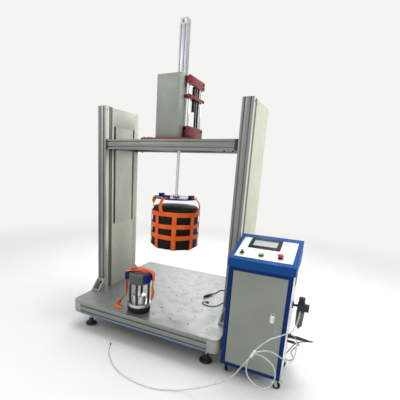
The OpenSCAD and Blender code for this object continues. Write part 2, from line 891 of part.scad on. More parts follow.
// Bright ring with the fixed inner cylinder standing on it
module impactor_ring() {
    color("#C9CBCE")
        translate([imp_x, imp_y, imp_pad]) {
            difference() {
                cylinder(d = imp_d, h = imp_ring);
                for (i = [0 : 3])
                    rotate([0, 0, 15 + 90 * i]) translate([imp_post_r, 0, imp_ring - 15])
                        cylinder(d = imp_post_d + 2 * fit_gap, h = 15 + cut);
            }
            cylinder(d = imp_core_d, h = imp_core - imp_pad);
        }
}

module impactor_posts() {
    color("#1A1B1D")
        for (i = [0 : 3])
            translate([imp_x, imp_y, 0]) rotate([0, 0, 15 + 90 * i])
                translate([imp_post_r, 0, imp_ring_z - 15])
                    cylinder(d = imp_post_d, h = imp_head - imp_ring_z + 15);
}

// Head with a raised boss and a shallow top dish
module impactor_head() {
    head_r = imp_d / 2 - 6;
    color("#4F5654")
        translate([imp_x, imp_y, imp_head]) rotate_extrude()
            polygon([
                [0, 0], [head_r - 4, 0], [head_r, 4], [head_r, imp_head_h - 8],
                [head_r - 8, imp_head_h], [head_r - 30, imp_head_h],
                [head_r - 34, imp_head_h - 10], [0, imp_head_h - 10]
            ]);
}

// Blue clamping blocks round the head, each with a strap slot
module impactor_blocks() {
    size = [26, 54, 58];
    color("#14207A")
        translate([imp_x, imp_y, imp_top - size[2]])
            for (a = [25, 155, 205, 335])
                rotate([0, 0, a]) translate([imp_d / 2 - 6 + web_gap, -size[1] / 2, 0])
                    difference() {
                        cube(size);
                        translate([size[0] / 2 - 4, 8, -cut])
                            cube([8, size[1] - 16, size[2] + 2 * cut]);
                    }
}

// Loose webbing: the bow over the head, the hanging end and the end on the deck
module impactor_straps() {
    bow_r = 77;
    bow_w = 36;
    drop_x = 36;
    hang_x = imp_d / 2 + 24;
    color("#FF5519")
        translate([imp_x, imp_y, 0]) {
            translate([0, 0, imp_top + web_gap]) intersection() {
                translate([0, bow_w / 2, bow_w / 2 - bow_r]) rotate([90, 0, 0])
                    linear_extrude(bow_w)
                        difference() {
                            circle(bow_r + 22);
                            circle(bow_r + 22 - web_t);
                        }
                translate([-bow_r, -bow_w, 0]) cube([2 * bow_r, 2 * bow_w, 2 * bow_r]);
            }
            translate([bow_r - 12, -bow_w / 2, imp_top + web_gap])
                cube([hang_x - bow_r + 12, bow_w, web_t]);
            translate([hang_x - web_t, -bow_w / 2, drop_x * 3])
                cube([web_t, bow_w, imp_top - drop_x * 3 + web_gap]);
            translate([-hang_x, -bow_w / 2, imp_top + web_gap])
                cube([hang_x - bow_r + 12, bow_w, web_t]);
            translate([-hang_x, -bow_w / 2, web_gap])
                cube([web_t, bow_w, imp_top]);
            translate([0, 0, web_gap]) {
                translate([-hang_x - 90, -bow_w / 2, 0]) cube([92, bow_w, web_t]);
                translate([-hang_x - 90, -bow_w / 2 - 60, 0]) cube([bow_w, 62, web_t]);
            }
        }
}

module caster_place(i) {
    x = corners[i][0] < 0 ? cab_x + caster_in : cab_x + cab_w - caster_in;
    y = corners[i][1] < 0 ? cab_y + caster_in : cab_y + cab_d - caster_in;
    translate([x, y, 0]) rotate([0, 0, caster_turn[i]]) children();
}

// Folded body with the door's opening, and the casters' top plates
module cabinet_shell() {
    color("#0F3C8C") {
        difference() {
            translate([cab_x, cab_y, cab_z]) cube([cab_w, cab_d, cab_h - lip_h]);
            translate([cab_x + cab_t, cab_y + door_t + cab_t, cab_z + cab_t])
                cube([cab_w - 2 * cab_t, cab_d - door_t - 2 * cab_t, cab_h - lip_h - 2 * cab_t]);
            translate([cab_x + door_side, cab_y - cut, cab_z + door_end])
                cube([door_w, door_t + cab_t + 2 * cut, door_h - lip_h]);
            translate([cab_x + door_side + hinge_gap + door_r, cab_y + door_r, cab_z + door_end - 9])
                cylinder(d = pin_d + 2 * run_gap, h = door_h - lip_h + 18);
        }
        for (i = [0 : 3])
            caster_place(i)
                difference() {
                    translate([-plate_s / 2, -plate_s / 2, cab_z - plate_t])
                        cube([plate_s, plate_s, plate_t]);
                    translate([0, 0, cab_z - plate_t - cut])
                        cylinder(d = axle_d + 4 + 2 * run_gap, h = plate_t + cut);
                }
    }
}

// Folded console, open below, with the three switch holes in its slope
module console() {
    skin = cab_t / cos(slope_a);
    fall = cab_t * tan(slope_a);
    color("#0F6EC8")
        difference() {
            translate([cab_x - lip_out, cab_y - lip_out, lip_z - lip_h])
                rotate([90, 0, 90]) {
                    difference() {
                        linear_extrude(cab_w + 2 * lip_out)
                            polygon([[0, 0], [slope_l, 0], [slope_l, lip_h + slope_h], [0, lip_h]]);
                        translate([0, 0, cab_t]) linear_extrude(cab_w + 2 * lip_out - 2 * cab_t)
                            polygon([
                                [cab_t, -cut], [slope_l - cab_t, -cut],
                                [slope_l - cab_t, lip_h + slope_h - skin - fall],
                                [cab_t, lip_h - skin + fall]
                            ]);
                    }
                }
            for (x = device_xs)
                on_slope(x, device_y) translate([0, 0, -device_deep]) cylinder(d = device_d, h = device_deep + cut);
        }
}

// White panel on the slope, under the screen and switches
module console_panel() {
    color("#F0F3EE")
        difference() {
            on_slope(cab_w / 2 - panel_w / 2, panel_y) cube([panel_w, panel_d, panel_t]);
            for (x = device_xs)
                on_slope(x, device_y) translate([0, 0, -cut]) cylinder(d = device_d, h = panel_t + 2 * cut);
        }
}

module screen_unit() {
    glass = 1;
    color("#2A2C30")
        on_slope(hmi_x - hmi_w / 2, hmi_y) translate([0, 0, panel_t])
            difference() {
                cube([hmi_w, hmi_d, hmi_t]);
                translate([(hmi_w - screen[0]) / 2, (hmi_d - screen[1]) / 2, hmi_t - glass])
                    cube([screen[0], screen[1], glass + cut]);
            }
}

// Light side panels with a black flush pull on the right one
module side_panels() {
    inset = 12;
    pull = [3, 60, 96];
    pull_wall = 8;
    color("#DADDDD")
        for (x = [cab_x - panel_t, cab_x + cab_w])
            translate([x, cab_y + inset, cab_z + inset])
                cube([panel_t, cab_d - 2 * inset, cab_h - lip_h - 2 * inset]);
    color("#17181A")
        translate([side_x, side_y - pull[1] / 2, lip_z - lip_h - inset - pull[2] - 4])
            difference() {
                cube(pull);
                translate([1, pull_wall, pull_wall])
                    cube([pull[0], pull[1] - 2 * pull_wall, pull[2] - 2 * pull_wall]);
            }
}

// Door folded as a pan, with its round hinge edge, two pins and the latch's oval base
module cabinet_door() {
    leaf_h = door_h - lip_h - 2 * door_gap;
    leaf_w = door_w - hinge_gap - door_gap;
    color("#7F867F")
        translate([cab_x + door_side + hinge_gap, cab_y, cab_z + door_end + door_gap]) {
            difference() {
                linear_extrude(leaf_h) {
                    translate([door_r, 0]) square([leaf_w - door_r, door_t]);
                    translate([0, door_r]) square([leaf_w, door_t - door_r]);
                    translate([door_r, door_r]) circle(door_r);
                }
                translate([2 * door_r, cab_t, cab_t])
                    cube([leaf_w - 2 * door_r - cab_t, door_t, leaf_h - 2 * cab_t]);
            }
            translate([door_r, door_r, -door_gap - 8]) cylinder(d = pin_d, h = leaf_h + 2 * door_gap + 16);
        }
    color("#D5D6D8")
        translate([cab_x + latch_x, cab_y, latch_z]) rotate([90, 0, 0]) linear_extrude(3) {
            square([latch_w, latch_h - latch_w], center = true);
            for (z = [-1, 1]) translate([0, z * (latch_h - latch_w) / 2]) circle(d = latch_w);
        }
}

// Paddle of the latch, turning on its upper end
module door_latch() {
    paddle = [16, 6, 46];
    color("#E2E3E5")
        translate([cab_x + latch_x, cab_y - 3 - slide_gap - paddle[1] / 2, latch_z + 20]) {
            translate([-paddle[0] / 2, -paddle[1] / 2, -paddle[2]])
                cube([paddle[0], paddle[1], paddle[2]]);
            translate([-paddle[0] / 2, 0, 0]) rotate([0, 90, 0]) cylinder(d = paddle[1], h = paddle[0]);
        }
}

// Threaded switch neck that runs in the console's hole
module switch_neck() {
    neck = 24;
    translate([0, 0, -neck]) cylinder(d = device_d - 2 * stem_gap, h = neck + panel_t + 4);
}

module selector() {
    color("#1B1C1F")
        on_slope(device_xs[0], device_y) {
            switch_neck();
            translate([0, 0, panel_t + slide_gap]) cylinder(d = device_d + 7, h = 5);
            translate([-5, -12, panel_t + 5]) cube([10, 24, 14]);
        }
}

module start_button() {
    color("#1E9A48")
        on_slope(device_xs[1], device_y) {
            switch_neck();
            translate([0, 0, panel_t + 4]) cylinder(d = device_d + 4, h = 8);
        }
}

module stop_button() {
    color("#C81E1E")
        on_slope(device_xs[2], device_y) {
            switch_neck();
            translate([0, 0, panel_t + 4]) cylinder(d = device_d, h = 10);
            translate([0, 0, panel_t + 12]) rotate_extrude()
                polygon([
                    [0, 0], [stop_d / 2 - 5, 0], [stop_d / 2, 5], [stop_d / 2, 10],
                    [stop_d / 2 - 6, 15], [0, 16]
                ]);
        }
}

// Air preparation unit on its wall bracket, with the outlet block on the right
module regulator() {
    arm_d = 16;
    outlet = [26, 32, 46];
    color("#1B1C1F")
        translate([reg_x, side_y, reg_z]) {
            difference() {
                translate([-reg_w / 2, -25, 0]) cube([reg_w, 50, reg_h]);
                translate([0, 0, reg_h - 12]) cylinder(d = 24 + 2 * run_gap, h = 12 + cut);
            }
            translate([side_x - reg_x, 0, reg_h * 0.6]) rotate([0, 90, 0])
                cylinder(d = arm_d, h = reg_x - side_x - reg_w / 2);
            translate([side_x - reg_x, -20, reg_h * 0.6 - 18]) cube([8, 40, 36]);
            translate([reg_w / 2, -outlet[1] / 2, reg_h / 2 - outlet[2] / 2]) cube(outlet);
            translate([0, -25, 10]) rotate([90, 0, 0]) cylinder(d = 14, h = 8);
        }
}

module regulator_bowl() {
    bowl_h = 126;
    r = bowl_d / 2;
    color("#4A4D50")
        translate([reg_x, side_y, reg_z]) rotate_extrude()
            polygon([
                [0, -bowl_h], [6, -bowl_h], [6, 8 - bowl_h], [r - 9, 14 - bowl_h],
                [r - 3, 24 - bowl_h], [r, -20], [r, 0], [0, 0]
            ]);
}

module regulator_knob() {
    knob_d = 38;
    color("#17181A")
        translate([reg_x, side_y, reg_z + reg_h]) {
            translate([0, 0, -10]) cylinder(d = 24, h = 12);
            difference() {
                translate([0, 0, slide_gap]) cylinder(d = knob_d, h = 40);
                for (i = [0 : 11])
                    rotate([0, 0, 30 * i]) translate([knob_d / 2 + 1, 0, 8]) cylinder(d = 5, h = 34);
            }
        }
}

// Cable connector and the air elbow on the cabinet's right side
module side_plug() {
    color("#141416")
        translate([side_x, side_y, 0]) {
            translate([0, 0, plug_z]) rotate([0, 90, 0]) {
                cylinder(d = 34, h = 8, $fn = 6);
                cylinder(d = 24, h = 70);
                translate([0, 0, 70]) cylinder(d1 = 24, d2 = 10, h = 54.5);
            }
            translate([0, 0, lead_z]) rotate([0, 90, 0]) cylinder(d = 18, h = 46.5);
            translate([0, -15, floor_z + 330]) rotate([0, 90, 0]) cylinder(d = 16, h = 20.5);
        }
}

// Swivel fork with its king pin; the right-hand ones carry a brake pedal
module fork(i) {
    cheek_t = 3;
    inner = wheel_w / 2 + wheel_gap;
    crown_z = cab_z - plate_t - fork_gap;
    crown_t = 6;
    color("#C4C6C8")
        caster_place(i) {
            translate([0, 0, crown_z - crown_t]) {
                cylinder(d = 36, h = crown_t);
                cylinder(d = axle_d + 4, h = crown_t + plate_t);
            }
            for (y = [inner, -inner - cheek_t])
                translate([0, y, 0]) rotate([90, 0, 0]) mirror([0, 0, 1]) linear_extrude(cheek_t)
                    difference() {
                        union() {
                            polygon([
                                [-14, crown_z - crown_t + 2], [16, crown_z - crown_t + 2],
                                [trail + 9, wheel_z], [trail - 9, wheel_z]
                            ]);
                            translate([trail, wheel_z]) circle(9);
                        }
                    }
            translate([trail, inner + cheek_t, wheel_z]) rotate([90, 0, 0])
                cylinder(d = axle_d, h = 2 * (inner + cheek_t));
            if (corners[i][0] > 0)
                translate([16, -10, crown_z - crown_t - 4]) rotate([0, 12, 0]) cube([42, 20, 4]);
        }
}

module wheel(i) {
    rim = wheel_d / 2;
    color("#1A1B1D")
        caster_place(i)
            translate([trail, 0, wheel_z]) rotate([90, 0, 0])
                difference() {
                    rotate_extrude()
                        polygon([
                            [0, -wheel_w / 2], [rim - 5, -wheel_w / 2], [rim, 4 - wheel_w / 2],
                            [rim, wheel_w / 2 - 4], [rim - 5, wheel_w / 2], [0, wheel_w / 2]
                        ]);
                    cylinder(d = axle_d + 2 * run_gap, h = wheel_w + 2 * cut, center = true);
                }
}

// Clear air hoses and their white union
module hoses() {
    color("#E6EAEA") {
        tube(air_route, hose_r);
        tube(floor_route, hose_r);
        tube(loop_route, hose_r);
    }
    color("#F4F5F3")
        translate(union_at) rotate([0, union_turn, 0]) cylinder(d = 14, h = 48, center = true);
}

// Cables from the cabinet's side to the loose ends on the deck
module cables() {
    color("#141416") {
        tube(cable_route, cable_r);
        tube(lead_route, lead_r);
        bar(connector_at[0], connector_at[1], 20);
        bar(tip_at[0], tip_at[1], 12);
    }
}

deck_plate();
base_rails();
corner_blocks();
color("#2A2320") foot(0);  // foot_1
color("#2A2320") foot(1);  // foot_2
color("#2A2320") foot(2);  // foot_3
color("#2A2320") foot(3);  // foot_4
front_posts();
rear_posts();
post_strips();
inner_panels();
outer_covers();
gussets();
beam_rails();
beam_ends();
tower_base();
tower_cover();
cylinder_barrel();
cylinder_heads();
cage_bottom();
cage_middle();
cage_top();
cage_rods();
cage_rail();
shock_absorber();
piston_rod();
load_disc();
bag_straps();
bag();
bag_net();
impactor_pad();
impactor_ring();
impactor_posts();
impactor_head();
impactor_blocks();
impactor_straps();
cabinet_shell();
console();
side_panels();
console_panel();
screen_unit();
cabinet_door();
door_latch();
selector();
start_button();
stop_button();
regulator();
regulator_bowl();
regulator_knob();
side_plug();
fork(0);  // fork_1
fork(1);  // fork_2
fork(2);  // fork_3
fork(3);  // fork_4
wheel(0);  // wheel_1
wheel(1);  // wheel_2
wheel(2);  // wheel_3
wheel(3);  // wheel_4
hoses();
cables();
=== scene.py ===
import json
import math

import bmesh
import bpy
from mathutils import Matrix, Vector, noise

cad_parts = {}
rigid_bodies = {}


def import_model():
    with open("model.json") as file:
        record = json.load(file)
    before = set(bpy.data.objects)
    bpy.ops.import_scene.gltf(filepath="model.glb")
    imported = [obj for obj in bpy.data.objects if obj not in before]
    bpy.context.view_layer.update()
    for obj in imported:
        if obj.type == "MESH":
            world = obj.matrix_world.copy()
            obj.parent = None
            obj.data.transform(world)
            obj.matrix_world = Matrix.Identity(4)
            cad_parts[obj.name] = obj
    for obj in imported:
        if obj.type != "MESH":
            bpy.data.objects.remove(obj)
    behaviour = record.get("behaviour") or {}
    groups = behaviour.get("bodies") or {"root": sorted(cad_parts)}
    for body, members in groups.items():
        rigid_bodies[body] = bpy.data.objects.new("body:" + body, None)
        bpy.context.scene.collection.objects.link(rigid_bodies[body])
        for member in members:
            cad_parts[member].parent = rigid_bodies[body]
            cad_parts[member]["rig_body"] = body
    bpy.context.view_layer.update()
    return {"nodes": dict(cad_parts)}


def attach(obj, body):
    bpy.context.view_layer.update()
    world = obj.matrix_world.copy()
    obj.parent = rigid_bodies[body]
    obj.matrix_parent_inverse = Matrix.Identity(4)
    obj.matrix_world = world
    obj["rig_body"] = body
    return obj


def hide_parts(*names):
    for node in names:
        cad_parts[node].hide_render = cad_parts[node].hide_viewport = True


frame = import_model()
nodes = frame["nodes"]
floorZ = -0.246  # the deck's top face is at 0
print("frame loaded with", len(nodes), "nodes")

# Camera
photoView = {
    "place": (1.1868, -2.6729, 1.1667),
    "right": (0.8750, 0.4828, 0.0359),
    "up": (-0.1406, 0.1824, 0.9731),
    "lens": 29.206,  # mm, on a 36 mm sensor
    "shift": (0.1197, 0.1001),
}


def inScene(name, data):
    made = bpy.data.objects.new(name, data)
    bpy.context.scene.collection.objects.link(made)
    return made


def placeCamera(view):
    data = bpy.data.cameras.new("photoCamera")
    data.lens, data.sensor_width = view["lens"], 36
    data.shift_x, data.shift_y = view["shift"]
    data.clip_start, data.clip_end = 0.05, 60
    camera = inScene("photoCamera", data)
    right = Vector(view["right"]).normalized()
    up = Vector(view["up"])
    up = (up - right * up.dot(right)).normalized()
    turn = Matrix((right, up, right.cross(up))).transposed().to_4x4()
    camera.matrix_world = Matrix.Translation(view["place"]) @ turn
    bpy.context.scene.camera = camera


placeCamera(photoView)


# Colour helpers and the one function that adds a shader or geometry node
def tint(hexText):
    parts = [int(hexText[i:i + 2], 16) / 255 for i in (1, 3, 5)]
    return tuple(c / 12.92 if c <= 0.04045 else ((c + 0.055) / 1.055) ** 2.4 for c in parts) + (1.0,)


def put(tree, kind, values=None, links=None):
    made = tree.nodes.new(kind)
    for key, value in (values or {}).items():
        if isinstance(key, int) or (key in made.inputs and not hasattr(made, str(key))):
            made.inputs[key].default_value = value
        else:
            setattr(made, key, value)
    for key, source in (links or {}).items():
        tree.links.new(source, made.inputs[key])
    return made


def startFinish(name, colour, roughness, **sockets):
    material = bpy.data.materials.new(name)
    material.use_nodes = True
    material.diffuse_color = tint(colour)
    tree = material.node_tree
    tree.nodes.clear()
    shader = put(tree, "ShaderNodeBsdfPrincipled", {"Base Color": tint(colour), "Roughness": roughness})
    for socket, value in sockets.items():
        shader.inputs[socket.replace("_", " ")].default_value = value
    put(tree, "ShaderNodeOutputMaterial", None, {"Surface": shader.outputs[0]})
    place = put(tree, "ShaderNodeTexCoord").outputs["Object"]
    return material, tree, shader, place


def maths(tree, operation, links, values=None):
    return put(tree, "ShaderNodeMath", {"operation": operation, **(values or {})}, links).outputs[0]


def blend(tree, factor, first, second):
    # from the first colour to the second, each an sRGB hex text or another node's output
    mix = put(tree, "ShaderNodeMix", {"data_type": "RGBA"}, {0: factor})
    for socket, value in ((6, first), (7, second)):
        if isinstance(value, str):
            mix.inputs[socket].default_value = tint(value)
        else:
            tree.links.new(value, mix.inputs[socket])
    return mix.outputs[2]


def feed(tree, shader, colour=None, roughness=None):
    for socket, source in (("Base Color", colour), ("Roughness", roughness)):
        if source is not None:
            tree.links.new(source, shader.inputs[socket])


def span(tree, source, low, high, toLow, toHigh):
    return put(tree, "ShaderNodeMapRange", {1: low, 2: high, 3: toLow, 4: toHigh}, {0: source}).outputs[0]


def grain(tree, place, sizeMm, stretch=(1, 1, 1), detail=3.0, turn=(0, 0, 0)):
    # noise whose features are about sizeMm across, times stretch along each axis
    scale = tuple(1000 / sizeMm / s for s in stretch)
    spot = put(tree, "ShaderNodeMapping", {"Scale": scale, "Rotation": turn}, {"Vector": place}).outputs[0]
    return put(tree, "ShaderNodeTexNoise", {"Scale": 1.0, "Detail": detail}, {"Vector": spot}).outputs[0]


def waves(tree, spot, direction, scale, distortion=0.0):
    values = {"bands_direction": direction, "Scale": scale, "Distortion": distortion}
    return put(tree, "ShaderNodeTexWave", values, {"Vector": spot}).outputs[1]


def relief(tree, shader, height, depthMm, strength):
    bump = put(tree, "ShaderNodeBump", {"Strength": strength, "Distance": depthMm / 1000}, {"Height": height})
    tree.links.new(bump.outputs[0], shader.inputs["Normal"])


# Powder coat: slightly pebbled film, with a few per cent of tone drift and dust specks scattered by noise
# over every face
def powderCoat(name, colour, dusty, roughness=0.42, pebbleMm=2.4, ior=1.5):
    material, tree, shader, place = startFinish(name, colour, roughness, IOR=ior)
    drift = span(tree, grain(tree, place, 240, detail=4), 0.35, 0.7, 0, 0.55)
    speck = span(tree, grain(tree, place, 3.5, detail=5), 0.62, 0.75, 0, 0.35)
    feed(tree, shader, blend(tree, speck, blend(tree, drift, colour, dusty), dusty),
         span(tree, grain(tree, place, 60), 0.3, 0.7, roughness - 0.06, roughness + 0.1))
    relief(tree, shader, grain(tree, place, pebbleMm, detail=1), 0.05, 0.5)  # real pebble about 1 mm
    return material


# Anodised or ground aluminium: metal with drawn lines along one axis
def drawnMetal(name, colour, streak, along, roughness=0.42, lineMm=2.2, metallic=0.85, deep=0.008):
    material, tree, shader, place = startFinish(name, colour, roughness, Metallic=metallic)
    stretch = tuple(60 if i == along else 1 for i in range(3))
    lines = grain(tree, place, lineMm, stretch, 4)  # real die lines about 0.3 mm apart
    cloud = grain(tree, place, 130, detail=3)
    mixed = blend(tree, span(tree, lines, 0.35, 0.68, 0, 1), colour, streak)
    feed(tree, shader, blend(tree, span(tree, cloud, 0.4, 0.7, 0, 0.35), mixed, streak),
         span(tree, lines, 0.3, 0.7, roughness - 0.08, roughness + 0.1))
    relief(tree, shader, lines, deep, 0.6)
    return material


# Blasted or cast metal: fine pits all over
def castMetal(name, colour, pit, roughness=0.55, metallic=0.6, grainMm=1.8):
    material, tree, shader, place = startFinish(name, colour, roughness, Metallic=metallic)
    pits = grain(tree, place, grainMm, detail=6)
    wide = grain(tree, place, 45, detail=4)
    worn = blend(tree, span(tree, wide, 0.42, 0.7, 0, 0.5), colour, pit)
    feed(tree, shader, blend(tree, span(tree, pits, 0.55, 0.75, 0, 0.6), worn, pit))
    relief(tree, shader, pits, 0.12, 0.6)
    return material


# Ground and lacquered deck: two crossing sets of grinding lines and dull rubbed patches
def groundDeck(name, colour, dull, bright):
    material, tree, shader, place = startFinish(name, colour, 0.4, Metallic=0.7)
    lineA = grain(tree, place, 2.6, (45, 1, 1), 4, (0, 0, 0.5))
    lineB = grain(tree, place, 2.6, (45, 1, 1), 4, (0, 0, -0.9))
    swirl = grain(tree, place, 90, detail=6)
    mixed = blend(tree, span(tree, lineA, 0.4, 0.7, 0, 0.6), colour, bright)
    mixed = blend(tree, span(tree, lineB, 0.45, 0.7, 0, 0.5), mixed, dull)
    mixed = blend(tree, span(tree, swirl, 0.5, 0.72, 0, 0.7), mixed, dull)
    feed(tree, shader, mixed, span(tree, swirl, 0.35, 0.7, 0.36, 0.46))
    relief(tree, shader, lineA, 0.004, 0.4)
    return material


# Hard chrome and polished steel: mirror with faint turning rings along the axis
def polished(name, colour, ringMm=1.6, roughness=0.12, along=2):
    material, tree, shader, place = startFinish(name, colour, roughness, Metallic=1.0)
    stretch = tuple(1 if i == along else 90 for i in range(3))
    rings = grain(tree, place, ringMm, stretch, 2)
    feed(tree, shader, roughness=span(tree, rings, 0.3, 0.7, roughness - 0.04, roughness + 0.1))
    relief(tree, shader, rings, 0.003, 0.3)
    return material


# Moulded plastic or rubber: matt skin with a fine spark-eroded or talc-dusted grain
def moulded(name, colour, dusty, roughness=0.5, grainMm=1.6, depthMm=0.05, ior=1.49, dustShare=0.3):
    material, tree, shader, place = startFinish(name, colour, roughness, IOR=ior)
    fine = grain(tree, place, grainMm, detail=2)
    dust = span(tree, grain(tree, place, 28, detail=6), 0.5, 0.75, 0, dustShare)
    feed(tree, shader, blend(tree, dust, colour, dusty),
         span(tree, fine, 0.3, 0.7, roughness - 0.08, roughness + 0.12))
    relief(tree, shader, fine, depthMm, 0.5)
    return material


# Clear or smoked polymer: smooth moulded or extruded skin with a faint haze from handling
def clearPolymer(name, colour, transmission, roughness, ior):
    material, tree, shader, place = startFinish(
        name, colour, roughness, IOR=ior, Transmission_Weight=transmission)
    haze = grain(tree, place, 18, detail=4)
    feed(tree, shader, roughness=span(tree, haze, 0.3, 0.7, roughness, roughness + 0.12))
    return material


# Polyester webbing on the piece's own UV map, in metres: u along the band, v across it
def wovenWebbing(name, colour, shade, light, yarnMm=2.6):
    material, tree, shader, place = startFinish(
        name, colour, 0.78, IOR=1.5, Sheen_Weight=0.35, Sheen_Roughness=0.4)
    uv = put(tree, "ShaderNodeUVMap", {"uv_map": "band"}).outputs[0]
    perYarn = 1000 / yarnMm / 2
    pull = put(tree, "ShaderNodeMapping", {"Scale": (perYarn, perYarn, 1)}, {"Vector": uv}).outputs[0]
    # herringbone of warp ribs, real yarn about 1.3 mm, drawn twice as coarse; its hollows get painted shade
    slant = waves(tree, pull, "DIAGONAL", 0.6, 0.4)
    rib = waves(tree, pull, "Y", 0.9)
    weave = maths(tree, "MULTIPLY", {0: slant, 1: rib})
    # painted highlight: soft patches about 70 mm across take the light colour
    fade = grain(tree, place, 70, detail=4)
    mixed = blend(tree, span(tree, weave, 0, 1, 0.75, 0), colour, shade)
    feed(tree, shader, blend(tree, span(tree, fade, 0.45, 0.75, 0, 0.45), mixed, light))
    relief(tree, shader, weave, 0.35, 0.8)
    return material


# Coated bag cloth: fine plain weave under a dull coating, creased
def coatedCloth(name, colour, light, threadMm=2.2):
    material, tree, shader, place = startFinish(name, colour, 0.62, IOR=1.3, Sheen_Weight=0.03)
    spot = put(tree, "ShaderNodeMapping", {"Scale": (1000 / threadMm,) * 3}, {"Vector": place}).outputs[0]
    warp, cross = waves(tree, spot, "Z", 0.3), waves(tree, spot, "DIAGONAL", 0.3)
    weave = maths(tree, "ADD", {0: warp, 1: cross})
    creases = grain(tree, place, 35, (1, 1, 2.2), 6)
    feed(tree, shader, blend(tree, span(tree, creases, 0.48, 0.75, 0, 0.7), colour, light))
    relief(tree, shader, maths(tree, "MULTIPLY_ADD", {0: creases, 2: weave}, {1: 7.0}), 0.22, 0.8)
    return material


# Thread: dark steel turned with a helix, drawn as rings 2 mm apart
def threadedSteel(name, colour, light, pitchMm=2.0):
    material, tree, shader, place = startFinish(name, colour, 0.38, Metallic=0.5)
    spot = put(tree, "ShaderNodeMapping", {"Scale": (0, 0, 1000 / pitchMm)}, {"Vector": place}).outputs[0]
    ring = waves(tree, spot, "Z", 0.314)  # one wave to one unit is about 0.314
    feed(tree, shader, blend(tree, ring, colour, light))
    relief(tree, shader, ring, 0.5, 0.8)
    return material


# Screen behind glass: a generic operating page of plain fields, on the piece's own UV map
def screenPage(name):
    material, tree, shader, _ = startFinish(
        name, "#20262C", 0.3, IOR=1.3, Coat_Weight=0.1, Emission_Strength=0.06)
    uv = put(tree, "ShaderNodeUVMap", {"uv_map": "page"}).outputs[0]
    cell = put(tree, "ShaderNodeTexBrick",
               {"Color1": tint("#C4C9CB"), "Color2": tint("#A9B1B5"), "Mortar": tint("#868F95"), "Scale": 5.0,
                "Mortar Size": 0.03, "Brick Width": 0.9, "Row Height": 0.42}, {"Vector": uv}).outputs[0]
    height = put(tree, "ShaderNodeSeparateXYZ", None, {0: uv}).outputs[1]
    page = blend(tree, maths(tree, "GREATER_THAN", {0: height}, {1: 0.84}), cell, "#7D8E9C")
    feed(tree, shader, page)
    tree.links.new(page, shader.inputs["Emission Color"])
    return material


